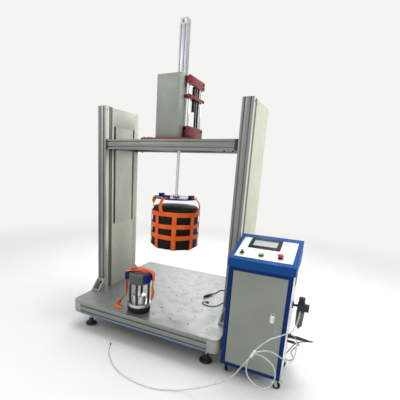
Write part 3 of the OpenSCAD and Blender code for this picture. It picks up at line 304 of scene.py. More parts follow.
finishes = {
    "deck": groundDeck("groundSteelDeck", "#8F9290", "#828583", "#9C9F9C"),
    "profileX": drawnMetal("anodisedProfileAcross", "#8F928E", "#7C7F7B", 0),
    "profileY": drawnMetal("anodisedProfileDeep", "#8F928E", "#7C7F7B", 1),
    "profileZ": drawnMetal("anodisedProfileUpright", "#8F928E", "#7C7F7B", 2),
    "cream": powderCoat("creamPowderCoat", "#C6CAB8", "#B5B9A7", 0.45),
    "panel": powderCoat("greyGreenPowderCoat", "#C6CDC0", "#B4BBAE", 0.48),
    # painted shade: a dark olive standing for the shade on the front posts' side faces
    "shadedPostSide": powderCoat("oliveRecessPaint", "#666A58", "#54574A", 0.6),
    # painted highlight: the posts' strips are near white, standing for the highlight along the profile's
    # chamfer
    "strip": drawnMetal("brightAnodisedStrip", "#DEE0DA", "#C6C8C2", 2, 0.3, metallic=0.6),
    "casting": castMetal("blastedDieCasting", "#A4A7A3", "#83867F"),
    "blackSteel": powderCoat("blackSatinCoat", "#1E1F22", "#303236", 0.4),
    "red": drawnMetal("redAnodisedPlate", "#8E2E34", "#722026", 1, 0.38, 1.8, 0.45),
    "cover": powderCoat("greySmoothCoat", "#949B92", "#858C83", 0.38, 3.0),
    "silver": drawnMetal("clearAnodisedBarrel", "#B6B8BC", "#A2A5A9", 2, 0.36),
    "chrome": polished("hardChrome", "#D2D4D6"),
    "latchChrome": polished("polishedChrome", "#E2E3E5", roughness=0.08),
    "blueEnamel": powderCoat("darkBlueEnamel", "#0B1168", "#141C78", 0.34, ior=1.3),
    "rubber": moulded("blackRubber", "#111212", "#262522", 0.75, 1.4, 0.08, 1.4),
    "brownRubber": moulded("brownRubberRing", "#4A382C", "#5E4A3C", 0.8, 1.6, 0.1),
    "blackCast": castMetal("blackCastPad", "#26211F", "#3A3430", 0.6, 0.2),
    "headCast": castMetal("greyEnamelCasting", "#4F5754", "#3E4442", 0.45, 0.15, 2.6),
    "turned": polished("turnedSteel", "#BFC1C3", 2.2, 0.26),
    # painted shade: the cabinet takes a darker copy of the console's blue, standing for the shade on its
    # front
    "shadedCabinetBlue": powderCoat("cabinetBlueCoat", "#00256A", "#032A6E", 0.42, ior=1.25),
    "consoleBlue": powderCoat("consoleBlueCoat", "#00468A", "#034A8C", 0.42, ior=1.25),
    "sideWhite": powderCoat("paleGreyCoat", "#DADCDD", "#CBCDCE", 0.42),
    "panelWhite": powderCoat("satinWhitePanel", "#F0F2EE", "#E2E4DF", 0.4),
    "doorGrey": powderCoat("doorGreyCoat", "#8E948B", "#838980", 0.4),
    "blackPlastic": moulded("blackPolyamide", "#17181A", "#2A2B2C", 0.46),
    "glossBlack": moulded("blackAbsBezel", "#0A0A0B", "#111213", 0.42, 1.2, 0.02, 1.3),
    "green": moulded("greenSwitchLens", "#1FA04C", "#178A40", 0.25, 3.0, 0.03, 1.49, 0.5),
    "redButton": moulded("redMushroomCap", "#B01C28", "#8E1620", 0.28, 3.0, 0.03, 1.49, 0.5),
    "zinc": castMetal("zincPlatedSteel", "#C2C4C5", "#A3A6A8", 0.36, 0.9, 4.0),
    "smoked": clearPolymer("smokedPolycarbonate", "#4B4F52", 0.55, 0.1, 1.58),
    "hose": clearPolymer("clearPolyurethane", "#E6EBEB", 0.72, 0.14, 1.5),
    "whitePlastic": moulded("whiteAcetal", "#EEEFEC", "#DEDFDB", 0.4, 2.0, 0.03, 1.48, 0.25),
    "cable": moulded("blackCableSheath", "#161617", "#2C2C2C", 0.55, 1.4, 0.06),
    # orange webbing: its own colour, painted shade for the weave's hollows, then a painted highlight colour
    "webbing": wovenWebbing("orangeWebbing", "#FF6A14", "#E8560C", "#FF8A40"),
    "bagCloth": coatedCloth("blackCoatedCloth", "#070708", "#131416"),
    "thread": threadedSteel("threadedBlackSteel", "#161719", "#34363A"),
    "screw": polished("blackOxideScrew", "#2A2B2E", 1.2, 0.3),
    "brightScrew": polished("zincScrew", "#B9BBBD", 1.2, 0.25),
    "trimBlue": powderCoat("blueTrimStrip", "#2A63B8", "#3E73BE", 0.35),
    "page": screenPage("screenPage"),
    "legend": moulded("legendPlate", "#A9BE22", "#97AB1E", 0.5, 2.0, 0.02),
}
print("materials made:", len(finishes))


# Mesh helpers: every finished piece sits at the origin with its place in its mesh
def keep(name, mesh, finish=None, body=None):
    made = inScene(name, mesh)
    if finish is not None and not mesh.materials:
        mesh.materials.append(finishes[finish])
    if body:
        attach(made, body)
    return made


def smoothByAngle(mesh, degrees):
    mesh.shade_smooth()
    mesh.set_sharp_from_angle(angle=math.radians(degrees))


def bakeModifiers(obj):
    # the evaluated shape as a plain mesh, the modifiers gone
    bpy.context.view_layer.update()
    graph = bpy.context.evaluated_depsgraph_get()
    mesh = bpy.data.meshes.new_from_object(obj.evaluated_get(graph))
    obj.modifiers.clear()
    obj.data = mesh


def meshOf(name, points, faces=()):
    mesh = bpy.data.meshes.new(name)
    mesh.from_pydata(points, [], faces)
    return mesh


def newMesh(name, shape):
    # a mesh from a bmesh, which is freed
    mesh = bpy.data.meshes.new(name)
    shape.to_mesh(mesh)
    shape.free()
    return mesh


# A rigid CAD node carried over with broken edges, each face taking the first finish whose test it meets
def easedNode(node, finish, edgeMm=0.8, parts=(), angle=35, merge=True):
    mesh = nodes[node].data.copy()
    mesh.materials.clear()
    shape = bmesh.new()
    shape.from_mesh(mesh)
    bmesh.ops.remove_doubles(shape, verts=shape.verts, dist=2e-5)
    if merge:
        bmesh.ops.dissolve_limit(shape, angle_limit=math.radians(0.6), verts=shape.verts, edges=shape.edges)
    for attribute in list(shape.loops.layers.float_vector.keys()):
        shape.loops.layers.float_vector.remove(shape.loops.layers.float_vector[attribute])
    for face in shape.faces:
        centre = face.calc_center_median()
        for index, (_, test) in enumerate(parts):
            if test(centre, face.normal):
                face.material_index = index + 1
                break
    shape.to_mesh(mesh)
    shape.free()
    mesh.materials.append(finishes[finish])
    for other, _ in parts:
        mesh.materials.append(finishes[other])
    if mesh.attributes.get("custom_normal"):
        mesh.attributes.remove(mesh.attributes["custom_normal"])
    made = keep(node + "Eased", mesh)
    if edgeMm:
        ease = made.modifiers.new("ease", "BEVEL")
        ease.width, ease.segments = edgeMm / 1000, 2
        ease.limit_method, ease.angle_limit = "ANGLE", math.radians(angle)
        ease.use_clamp_overlap = True
        ease.loop_slide = False
        bakeModifiers(made)
    smoothByAngle(made.data, angle)
    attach(made, nodes[node]["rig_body"])
    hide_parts(node)


def dressNode(node, finish):
    mesh = nodes[node].data
    mesh.materials.clear()
    mesh.materials.append(finishes[finish])


def wall(rows, steps, ring=False):
    # quads between rows of points, each row a closed loop; a ring's last row joins its first
    faces = []
    for row in range(rows if ring else rows - 1):
        for k in range(steps):
            a, b = row * steps + k, row * steps + (k + 1) % steps
            up = steps if row + 1 < rows else -row * steps
            faces.append((a, b, b + up, a + up))
    return faces


# Turned piece about an axis: profile of (distance along, radius), optional ribs round some of its rows.
# A ring's profile closes on itself; any other piece gets flat ends.
def turned(name, profile, start, direction, finish, body, steps=32, ribs=0, ribDeep=0.0, ribRows=(),
           ring=False):
    axis = Vector(direction).normalized()
    sideway = axis.orthogonal().normalized()
    upway = axis.cross(sideway)
    points = []
    for row, (along, radius) in enumerate(profile):
        for k in range(steps):
            a = 2 * math.pi * k / steps
            r = radius
            if row in ribRows:
                r -= ribDeep * (0.5 + 0.5 * math.cos(ribs * a))
            points.append(Vector(start) + axis * along + (sideway * math.cos(a) + upway * math.sin(a)) * r)
    faces = wall(len(profile), steps, ring)
    if not ring:
        faces.append(tuple(reversed(range(steps))))
        faces.append(tuple(range((len(profile) - 1) * steps, len(profile) * steps)))
    mesh = meshOf(name, points, faces)
    smoothByAngle(mesh, 40)
    return keep(name, mesh, finish, body)


def block(name, low, high, finish, body, edgeMm, place=None):
    # box with broken edges; place turns and moves it before it is kept
    shape = bmesh.new()
    bmesh.ops.create_cube(shape, size=1.0)
    middle = (Vector(low) + Vector(high)) / 2
    size = Vector(high) - Vector(low)
    for v in shape.verts:
        v.co = Vector([v.co[i] * size[i] + middle[i] for i in range(3)])
    bmesh.ops.bevel(shape, geom=shape.edges[:], offset=edgeMm / 1000, segments=2, affect="EDGES",
                    profile=0.5)
    if place:
        shape.transform(place)
    mesh = newMesh(name, shape)
    smoothByAngle(mesh, 40)
    keep(name, mesh, finish, body)


def smoothPath(points, step, closed=False):
    # smooth curve through the points (Catmull and Rom's), sampled about every step metres
    given = [Vector(p) for p in points]
    count = len(given)
    made = []
    for i in range(count if closed else count - 1):
        a = given[(i - 1) % count] if closed or i else given[0] * 2 - given[1]
        b, c = given[i], given[(i + 1) % count]
        d = given[(i + 2) % count] if closed or i + 2 < count else c * 2 - b
        cuts = max(1, round((c - b).length / step))
        for k in range(cuts):
            t = k / cuts
            made.append(((2 * b) + (c - a) * t + (2 * a - 5 * b + 4 * c - d) * t * t
                         + (3 * b - a - 3 * c + d) * t ** 3) * 0.5)
    if not closed:
        made.append(given[-1])
    return made


# Flat woven band along a path; across gives the width's direction at each given point
def band(name, points, across, size, body, step, closed=False):
    width, thick = size["width"], size["thick"]
    line = smoothPath(points, step, closed)
    given = [Vector(p) for p in points]
    count = len(line)
    ratios = []
    for i in range(len(given) if closed else len(given) - 1):
        cuts = max(1, round((given[(i + 1) % len(given)] - given[i]).length / step))
        ratios += [i + k / cuts for k in range(cuts)]
    if not closed:
        ratios.append(len(given) - 1)
    section = [(-0.5, 0.1), (-0.47, 0.5), (-0.2, 0.5), (0.2, 0.5), (0.47, 0.5), (0.5, 0.1),
               (0.5, -0.1), (0.47, -0.5), (0.2, -0.5), (-0.2, -0.5), (-0.47, -0.5), (-0.5, -0.1)]
    placed, faces, uvs, run = [], [], [], 0.0
    sides = len(section)
    for i, spot in enumerate(line):
        ahead = line[(i + 1) % count] if closed or i + 1 < count else spot
        back = line[i - 1] if closed or i else spot
        going = (ahead - back).normalized()
        low = int(ratios[i])
        part = ratios[i] - low
        a, b = Vector(across[low % len(across)]), Vector(across[(low + 1) % len(across)])
        side = a.lerp(b, part)
        side = (side - going * side.dot(going)).normalized()
        face = side.cross(going)
        if i:
            run += (spot - line[i - 1]).length
        for w, t in section:
            placed.append(spot + side * (w * width) + face * (t * thick))
            uvs.append((run, w * width))
    lastRun = run + (line[0] - line[-1]).length
    corners = []
    for i in range(count if closed else count - 1):
        j = (i + 1) % count
        for k in range(sides):
            m = (k + 1) % sides
            faces.append((i * sides + k, j * sides + k, j * sides + m, i * sides + m))
            for ring, part in ((i, k), (j, k), (j, m), (i, m)):
                u = lastRun if closed and ring == 0 and i else uvs[ring * sides + part][0]
                corners.append((u, uvs[ring * sides + part][1]))
    if not closed:
        faces.append(tuple(reversed(range(sides))))
        corners += [uvs[k] for k in reversed(range(sides))]
        faces.append(tuple(range((count - 1) * sides, count * sides)))
        corners += [uvs[(count - 1) * sides + k] for k in range(sides)]
    mesh = meshOf(name, placed, faces)
    layer = mesh.uv_layers.new(name="band")
    for loop, uv in zip(layer.data, corners):
        loop.uv = uv
    shape = bmesh.new()
    shape.from_mesh(mesh)
    bmesh.ops.recalc_face_normals(shape, faces=shape.faces)
    shape.to_mesh(mesh)
    shape.free()
    smoothByAngle(mesh, 50)
    return keep(name, mesh, "webbing", body)


def joined(name, pieces):
    # several meshes of one body as one piece
    shape = bmesh.new()
    finishList = []
    for piece in pieces:
        offset = len(finishList)
        finishList += list(piece.data.materials)
        before = len(shape.faces)
        shape.from_mesh(piece.data)
        shape.faces.ensure_lookup_table()
        for face in shape.faces[before:]:
            face.material_index += offset
    mesh = newMesh(name, shape)
    for finish in finishList:
        mesh.materials.append(finish)
    body = pieces[0].get("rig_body")
    for piece in pieces:
        bpy.data.objects.remove(piece)
    return keep(name, mesh, None, body)


# Cords, in millimetres; each route is a row of points from the end that it leaves the object at
hoses = {"radius": 4, "union": (926, -942, 143), "unionLean": 24, "unionHalf": 24, "end": (-190, -760, -241)}
cables = {
    "radius": 3.5, "leadRadius": 3,
    "connector": ((303, -12, 11), (352, 102, 11)),  # its tip and the point where the cable comes in
    "plug": ((352, -91, 7), (386, -101, 7)),
}

airRoute = [
    (1118, -488, 271), (1118, -497, 271), (1118, -518, 250), (1110, -545, 205), (1092, -620, 180),
    (1064, -741, 211), (1007, -859, 222), (963, -910, 195), (937, -942, 168)]
floorRoute = [
    (915, -942, 118), (880, -969, 66), (840, -985, 0), (788, -999, -52), (734, -1007, -92),
    (678, -1005, -131), (573, -973, -212), (478, -998, -241), (390, -1040, -241),
    (290, -1060, -241), (190, -1055, -241), (85, -1029, -241), (5, -990, -241), (-70, -930, -241),
    (-140, -850, -241), hoses["end"]]
loopRoute = [
    (1084, -470, 84), (1096, -470, 84), (1122, -495, 58), (1128, -540, 5), (1120, -590, -30),
    (1100, -645, -20), (1062, -688, 18), (1029, -793, 96), (988, -858, 137), (941, -910, 143),
    (907, -935, 105), (898, -943, 48), (909, -937, -8), (937, -918, -53), (969, -890, -94),
    (1001, -853, -113), (1028, -816, -108), (1043, -794, -78), (1044, -803, -22), (1024, -847, 55),
    (987, -900, 114), (951, -935, 144), (940, -950, 154)]
cableRoute = [
    (1188, -455, 64), (1198, -455, 64), (1216, -441, 57), (1212, -416, 44),
    (1175, -394, 24), (1126, -372, -10), (1092, -325, -80), (1064, -262, -165),
    (1020, -215, -242), (880, -80, -242), (790, 100, -242), (740, 240, -238),
    (715, 320, -170), (692, 355, -60), (665, 362, 8), (610, 360, 4), (500, 312, 4),
    (402, 262, 4), (374, 228, 4), (366, 160, 4), (350, 96, 10)]
leadRoute = [
    (1110, -455, 26), (1120, -455, 26), (1138, -440, 16), (1126, -410, -18),
    (1094, -360, -100), (1112, -292, -190), (1034, -232, -242.5), (860, -90, -242.5),
    (765, 90, -242.5), (712, 220, -230), (688, 285, -140), (674, 322, -40),
    (658, 332, 7), (600, 327, 3.5), (556, 318, 3.5), (530, 270, 3.5), (512, 100, 3.5),
    (480, -60, 3.5), (462, -120, 3.5), (420, -158, 3.5), (370, -160, 3.5),
    (332, -130, 3.5), (336, -98, 4.5), (356, -92, 7)]


def metres(point):
    return Vector(point) / 1000


def cordAlong(name, route, radiusMm, finish, node):
    data = bpy.data.curves.new(name, "CURVE")
    data.dimensions = "3D"
    data.bevel_depth, data.bevel_resolution, data.resolution_u = radiusMm / 1000, 4, 10
    data.use_fill_caps = True
    line = data.splines.new("BEZIER")
    line.bezier_points.add(len(route) - 1)
    spots = [metres(spot) for spot in route]
    for i, (knot, spot) in enumerate(zip(line.bezier_points, spots)):
        back, ahead = spots[max(i - 1, 0)], spots[min(i + 1, len(spots) - 1)]
        going = (ahead - back).normalized()
        if 0 < i < len(spots) - 1:
            # the height never overshoots a knot, so a cord that lies on something doesn't dip into it
            fall, climb = (spot - back).normalized().z, (ahead - spot).normalized().z
            steepest = 3 * min(abs(fall), abs(climb)) if fall * climb > 0 else 0.0
            going.z = max(-steepest, min(steepest, going.z))
        knot.co = spot
        knot.handle_left_type = knot.handle_right_type = "FREE"
        knot.handle_left = spot - going * (spot - back).length / 3
        knot.handle_right = spot + going * (ahead - spot).length / 3
    made = inScene(name, data)
    data.materials.append(finishes[finish])
    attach(made, "bench")
    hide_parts(node)
    return made


airHose = cordAlong("airHose", airRoute, hoses["radius"], "hose", "hoses")
floorHose = cordAlong("floorHose", floorRoute, hoses["radius"], "hose", "hoses")
loopHose = cordAlong("loopHose", loopRoute, hoses["radius"], "hose", "hoses")
blackCable = cordAlong("blackCable", cableRoute, cables["radius"], "cable", "cables")
thinLead = cordAlong("thinLead", leadRoute, cables["leadRadius"], "cable", "cables")

unionLean = math.radians(hoses["unionLean"])
unionAxis = Vector((math.sin(unionLean), 0, math.cos(unionLean)))
unionStart = metres(hoses["union"]) - unionAxis * (hoses["unionHalf"] / 1000)
hoseUnion = turned("hoseUnion", [
    (0, 0.0046), (0, 0.0066), (0.003, 0.007), (0.004, 0.0058), (0.0055, 0.0058), (0.0055, 0.007),
    (0.021, 0.007), (0.022, 0.0062), (0.026, 0.0062), (0.027, 0.007), (0.0425, 0.007),
    (0.0425, 0.0058), (0.044, 0.0058), (0.045, 0.007), (0.048, 0.0066), (0.048, 0.0046)],
    unionStart, unionAxis, "whitePlastic", "bench")


def pathway(start, end):
    # where a turned piece starts and which way it points
    return metres(start), (metres(end) - metres(start)).normalized()


cableConnector = turned("cableConnector", [
    (0.124, 0.0038), (0.122, 0.0062), (0.104, 0.0072), (0.102, 0.0088), (0.080, 0.0092), (0.079, 0.0098),
    (0.060, 0.0098), (0.059, 0.0086), (0.056, 0.0086), (0.055, 0.0100), (0.020, 0.0100), (0.018, 0.0090),
    (0.017, 0.0078), (0.002, 0.0078), (0.0, 0.0074)][::-1],
    *pathway(*cables["connector"]), "blackPlastic", "bench", 72, 36, 0.0005, (4, 5))

leadPlug = turned("leadPlug", [
    (0, 0.0032), (0.002, 0.0046), (0.010, 0.0056), (0.011, 0.006), (0.024, 0.006), (0.025, 0.0052),
    (0.027, 0.0052), (0.0275, 0.0044), (0.0352, 0.0042)],
    *pathway(*cables["plug"]), "blackPlastic", "bench", 48, 24, 0.0004, (3, 4))

hoseEnd = turned("hoseEndFitting", [
    (-0.020, 0.0046), (-0.020, 0.005), (-0.004, 0.005), (-0.003, 0.0047), (0.0, 0.0047), (0.001, 0.005),
    (0.004, 0.005), (0.005, 0.0036), (0.012, 0.0032)],
    metres(hoses["end"]), pathway(floorRoute[-2], hoses["end"])[1], "blackPlastic", "bench")

print("cords made")

# Floor and light: each lamp's place, aim, diameter and power, in metres and watts
studio = {
    "floor": "#E9EAE7", "floorDrift": "#EDEEEA", "backdrop": "#F4F5F3", "halfFloor": 30, "fade": (2.4, 5.5),
    "world": 0.54,
    "lamps": {
        "keyLamp": ((-2.6, -3.4, 3.6), (0.1, -0.2, 0.8), 2.4, 40),
        "sideLamp": ((4.4, -0.4, 2.6), (0.3, -0.2, 0.8), 2.8, 85),
        "topLamp": ((0.2, 0.6, 4.4), (0.1, 0, 0.6), 2.8, 150),
        "rearLamp": ((-1.2, 3.8, 2.6), (0.1, 0, 0.9), 2.4, 40)},
}


def areaLamp(name, place, aim, size, power):
    data = bpy.data.lights.new(name, "AREA")
    data.energy, data.size, data.shape = power, size, "DISK"
    lamp = inScene(name, data)
    lamp.location = place
    lamp.rotation_euler = (Vector(aim) - Vector(place)).to_track_quat("-Z", "Y").to_euler()


for lampName, values in studio["lamps"].items():
    areaLamp(lampName, *values)

world = bpy.data.worlds.new("studioWorld")
bpy.context.scene.world = world
world.use_nodes = True
sky = world.node_tree
sky.nodes.clear()
# rays from the camera, mirror rays and rays through clear pieces see the full backdrop, the rest a dimmer one
rays = put(sky, "ShaderNodeLightPath").outputs
seen = rays["Is Camera Ray"]
for other in ("Is Glossy Ray", "Is Transmission Ray"):
    seen = maths(sky, "ADD", {0: seen, 1: rays[other]}, {"use_clamp": True})
level = put(sky, "ShaderNodeMapRange", {3: studio["world"], 4: 1.0}, {0: seen}).outputs[0]
backdrop = put(sky, "ShaderNodeBackground", {"Color": tint(studio["backdrop"])}, {"Strength": level})
put(sky, "ShaderNodeOutputWorld", None, {"Surface": backdrop.outputs[0]})

wide = studio["halfFloor"]
floorMesh = meshOf("floor", [(x * wide, y * wide, floorZ) for x, y in ((-1, -1), (1, -1), (1, 1), (-1, 1))],
                   [(0, 1, 2, 3)])
floorFinish, tree, floorShader, floorPlace = startFinish("paleFloor", studio["floor"], 0.6)
feed(tree, floorShader, blend(tree, span(tree, grain(tree, floorPlace, 400, detail=4), 0.3, 0.8, 0, 0.5),
                              studio["floor"], studio["floorDrift"]))
# away from the object the floor fades into the backdrop's own colour, so no horizon shows
reach = put(tree, "ShaderNodeVectorMath", {"operation": "LENGTH"}, {0: floorPlace}).outputs["Value"]
near, away = studio["fade"]
far = put(tree, "ShaderNodeMapRange", {"interpolation_type": "SMOOTHSTEP", 1: near, 2: away},
          {0: reach}).outputs[0]
glow = put(tree, "ShaderNodeEmission", {"Color": tint(studio["backdrop"]), "Strength": 1.0}).outputs[0]
melt = put(tree, "ShaderNodeMixShader", None, {0: far, 1: floorShader.outputs[0], 2: glow}).outputs[0]
tree.links.new(melt, next(n for n in tree.nodes if n.type == "OUTPUT_MATERIAL").inputs["Surface"])
floorMesh.materials.append(floorFinish)
inScene("floor", floorMesh)
bpy.context.scene.view_settings.view_transform = "Standard"
print("studio made")

# Rigid nodes carried over: where one node has several finishes, a named height or place tells its faces apart
columnIn, columnOut = 0.570, 0.650  # the columns' inner and outer faces, from the middle plane
split = {
    "ringTop": floorZ + 0.0085, "stemFrom": floorZ + 0.0615,  # levelling feet
    "recess": 0.003, "clampFrom": 0.5847, "railSide": 0.59, "railEnd": 0.6,
    "absorber": (0.104, -0.059), "nut": (0.0125, 0.05), "plungerFrom": 1.779,
    "casterTop": -0.1682, "pullFrom": 1.0637, "latchFrom": -0.6551, "hinge": (0.7076, -0.648), "pin": 0.003,
}


# faces 3 mm in from a column's inner or outer face; on the front posts the sideways ones take painted shade
def inRecess(x):
    return any(abs(abs(x) - at) < 0.001 for at in (columnIn + split["recess"], columnOut - split["recess"]))


def absorberNut(c):
    low, high = split["nut"]
    away = math.hypot(c.x - split["absorber"][0], c.y - split["absorber"][1])
    return c.z > split["plungerFrom"] or low < away < high


def hingePin(c):
    return all(abs(at - axis) < split["pin"] for at, axis in zip((c.x, c.y), split["hinge"]))


easedNode("deck_plate", "deck", 0, merge=False)
easedNode("base_rails", "profileX", 0.6, [
    ("profileY", lambda c, n: abs(c.x) > split["railSide"] and abs(c.y) < split["railEnd"])])
easedNode("corner_blocks", "casting", 1.2)
for i in range(1, 5):
    easedNode(f"foot_{i}", "blackCast", 0.6, [
        ("brownRubber", lambda c, n: c.z < split["ringTop"]),
        ("zinc", lambda c, n: c.z > split["stemFrom"])], 30)
# the front posts' sideways faces in the recess take painted shade
easedNode("front_posts", "profileZ", 0.6, [("shadedPostSide", lambda c, n: abs(n.x) > 0.9 and inRecess(c.x))])
# the post strips carry the painted highlight
for node, finish, edge in (
        ("rear_posts", "cream", 0.6), ("post_strips", "strip", 0.4), ("inner_panels", "panel", 0.5),
        ("outer_covers", "cream", 0.5), ("gussets", "casting", 1.4), ("beam_rails", "profileX", 0.6)):
    easedNode(node, finish, edge)
easedNode("beam_ends", "blackSteel", 0.8, [("zinc", lambda c, n: abs(c.x) > split["clampFrom"])])
for node, finish, edge in (
        ("tower_base", "red", 0.8), ("tower_cover", "cover", 0.6), ("cylinder_barrel", "silver", 0.3),
        ("cylinder_heads", "silver", 0.5), ("cage_bottom", "red", 0.7), ("cage_middle", "red", 0.7),
        ("cage_top", "red", 0.7), ("cage_rail", "blackSteel", 0.4)):
    easedNode(node, finish, edge)
dressNode("cage_rods", "chrome")
easedNode("shock_absorber", "thread", 0.4, [("screw", lambda c, n: absorberNut(c))])
for node, finish, edge in (
        ("piston_rod", "chrome", 0.4), ("load_disc", "blueEnamel", 1.2), ("impactor_pad", "rubber", 1.2),
        ("impactor_ring", "turned", 0.8), ("impactor_head", "headCast", 1.2),
        ("impactor_blocks", "blueEnamel", 1.2)):
    easedNode(node, finish, edge)
dressNode("impactor_posts", "blackSteel")
# the cabinet shell's darker blue is painted shade
easedNode("cabinet_shell", "shadedCabinetBlue", 0.7, [("zinc", lambda c, n: c.z < split["casterTop"])])
easedNode("console", "consoleBlue", 1.2)
easedNode("side_panels", "sideWhite", 0.5, [("blackPlastic", lambda c, n: c.x > split["pullFrom"])])
easedNode("console_panel", "panelWhite", 0.4)
easedNode("screen_unit", "glossBlack", 1.0)
easedNode("cabinet_door", "doorGrey", 0.8, [("latchChrome", lambda c, n: c.y < split["latchFrom"]),
                                            ("zinc", lambda c, n: hingePin(c))])
for node, finish, edge in (
        ("door_latch", "latchChrome", 1.0), ("selector", "blackPlastic", 0.8), ("start_button", "green", 0.8),
        ("stop_button", "redButton", 0.8), ("regulator", "blackPlastic", 1.0),
        ("regulator_bowl", "smoked", 0.6), ("regulator_knob", "blackPlastic", 0.6),
        ("side_plug", "blackPlastic", 0.5)):
    easedNode(node, finish, edge)
for i in range(1, 5):
    easedNode(f"fork_{i}", "zinc", 0.4)
    easedNode(f"wheel_{i}", "rubber", 0.6)
print("rigid nodes dressed")

# Impact bag and its webbing
impactBag = {
    "axis": (0.0, -0.060), "low": 0.4555, "high": 0.820, "radius": 0.2055, "taper": 0.006, "slack": 0.002,
    "edge": 0.030, "bands": (0.567, 0.660, 0.763), "around": 144, "rows": 46, "edgeRows": 10,
    "pressure": 4.0, "stiffness": 12, "cap": 0.009, "frames": 20,
    "creases": ((38, 0.0012), (90, 0.0005)),  # how often to the metre and how deep
}
netWeb = {
    "radius": 0.2084, "thick": 0.0024, "width": 0.038, "levelWander": 0.0004, "heightWander": 0.0022,
    "uprights": 8, "firstUpright": 22.5, "uprightOut": 0.0025,
    "uprightHeights": (0.781, 0.72, 0.66, 0.60, 0.53), "bendOut": 0.003,
    "under": 0.0016, "stack": 0.0006, "underRadii": (0.12, 0.05),
}
# path in (radius, height); twists in degrees at each of its points, by the strap's turn about the bag
liftStraps = {
    "width": 0.036, "thick": 0.0026,
    "path": [(0.125, 0.8948), (0.150, 0.8948), (0.176, 0.8948), (0.200, 0.8905), (0.222, 0.874),
             (0.2355, 0.851), (0.2385, 0.829), (0.2365, 0.811), (0.229, 0.796), (0.2185, 0.785),
             (0.2130, 0.774), (0.2122, 0.760), (0.2122, 0.746)],
    "twists": {175: [0, 0, 0, 12, 40, 82, 120, 150, 172, 180, 180, 180, 180],
               262: [0, 0, 0, 3, 8, 10, 8, 2, -4, -4, 0, 0, 0],
               350: [0, 0, 0, -6, -14, -18, -12, -4, 2, 0, 0, 0, 0]},
}


def bagRadiusAt(z):
    bag = impactBag
    share = (z - bag["low"]) / (bag["high"] - bag["low"])
    r = bag["radius"] - bag["taper"] * share
    for end in (z - bag["low"], bag["high"] - z):
        if end < bag["edge"]:
            r -= bag["edge"] - math.sqrt(max(0.0, bag["edge"] ** 2 - (bag["edge"] - end) ** 2))
    return r


def heldByWeb(x, y, z):
    bag = impactBag
    if any(abs(z - at) < netWeb["width"] / 2 + 0.002 for at in bag["bands"]):
        return 1.0
    pitch = 360 / netWeb["uprights"]
    turn = (math.degrees(math.atan2(y, x)) - netWeb["firstUpright"]) % pitch
    turn = min(turn, pitch - turn)
    reach = math.hypot(x, y)
    if z < bag["bands"][2] and reach * math.radians(turn) < netWeb["width"] / 2 and reach > 0.03:
        return 1.0
    return 1.0 if z > bag["high"] - 0.004 and reach > 0.15 else 0.0


def bagRings():
    # (height, radius) from the middle of the bottom to the middle of the top; the side's radius is left open
    bag = impactBag
    shares = (0.25, 0.5, 0.75, 0.9)
    turns = [math.pi / 2 * k / bag["edgeRows"] for k in range(bag["edgeRows"] + 1)]
    straight = bag["high"] - bag["low"] - 2 * bag["edge"]
    rings = [(bag["low"], (bag["radius"] - bag["edge"]) * share) for share in shares]
    rings += [(bag["low"] + bag["edge"] * (1 - math.cos(a)), None) for a in turns]
    rings += [(bag["low"] + bag["edge"] + straight * k / bag["rows"], None) for k in range(1, bag["rows"])]
    rings += [(bag["high"] - bag["edge"] * (1 - math.sin(a)), None) for a in turns]
    return rings + [(bag["high"], (bag["radius"] - bag["taper"] - bag["edge"]) * share)
                    for share in reversed(shares)]


def makeBag():
    bag = impactBag
    count = bag["around"]
    rings = bagRings()
    points = []
    for z, r in rings:
        wide = bagRadiusAt(z) if r is None else r
        for k in range(count):
            a = 2 * math.pi * k / count
            x, y = wide * math.cos(a), wide * math.sin(a)
            if r is None and not heldByWeb(x, y, z):
                x, y = x * (1 - bag["slack"] / wide), y * (1 - bag["slack"] / wide)
            points.append((bag["axis"][0] + x, bag["axis"][1] + y, z))
    faces = wall(len(rings), count)
    low, high = len(points), len(points) + 1
    points += [bag["axis"] + (bag["low"],), bag["axis"] + (bag["high"],)]
    top = (len(rings) - 1) * count
    for k in range(count):
        m = (k + 1) % count
        faces += [(low, m, k), (high, top + k, top + m)]
    mesh = meshOf("impactBag", points, faces)
    mesh.shade_smooth()
    made = keep("impactBag", mesh, "bagCloth")
    swell(made)
    finer = made.modifiers.new("finer", "SUBSURF")
    finer.levels = finer.render_levels = 1
    bakeModifiers(made)
    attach(made, "ram")
    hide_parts("bag")


# The filling pushes the cloth out between the bands, which hold it; no point moves further than the cap
def swell(piece):
    bag = impactBag
    held = piece.vertex_groups.new(name="held")
    rest = [v.co.copy() for v in piece.data.vertices]
    for v in piece.data.vertices:
        held.add([v.index], heldByWeb(v.co.x - bag["axis"][0], v.co.y - bag["axis"][1], v.co.z), "REPLACE")
    cloth = piece.modifiers.new("Cloth", "CLOTH")
    cloth.settings.vertex_group_mass = "held"
    cloth.settings.use_pressure = True
    cloth.settings.uniform_pressure_force = bag["pressure"]
    cloth.settings.effector_weights.gravity = 0
    cloth.settings.tension_stiffness = cloth.settings.compression_stiffness = bag["stiffness"]
    cloth.settings.quality = 6
    cloth.collision_settings.use_collision = False
    scene = bpy.context.scene
    for step in range(1, bag["frames"] + 1):
        scene.frame_set(step)
    graph = bpy.context.evaluated_depsgraph_get()
    moved = [v.co.copy() for v in piece.evaluated_get(graph).data.vertices]
    piece.modifiers.clear()
    scene.frame_set(1)
    for v, old, new in zip(piece.data.vertices, rest, moved):
        shift = new - old
        if shift.length > bag["cap"]:
            shift *= bag["cap"] / shift.length
        crease = sum(noise.noise(new * often) * deep for often, deep in bag["creases"])
        v.co = old + shift + shift * (crease / max(shift.length, 0.002))
    piece.vertex_groups.clear()


def around(turn, radius, z):
    a = math.radians(turn)
    return (impactBag["axis"][0] + radius * math.cos(a), impactBag["axis"][1] + radius * math.sin(a), z)


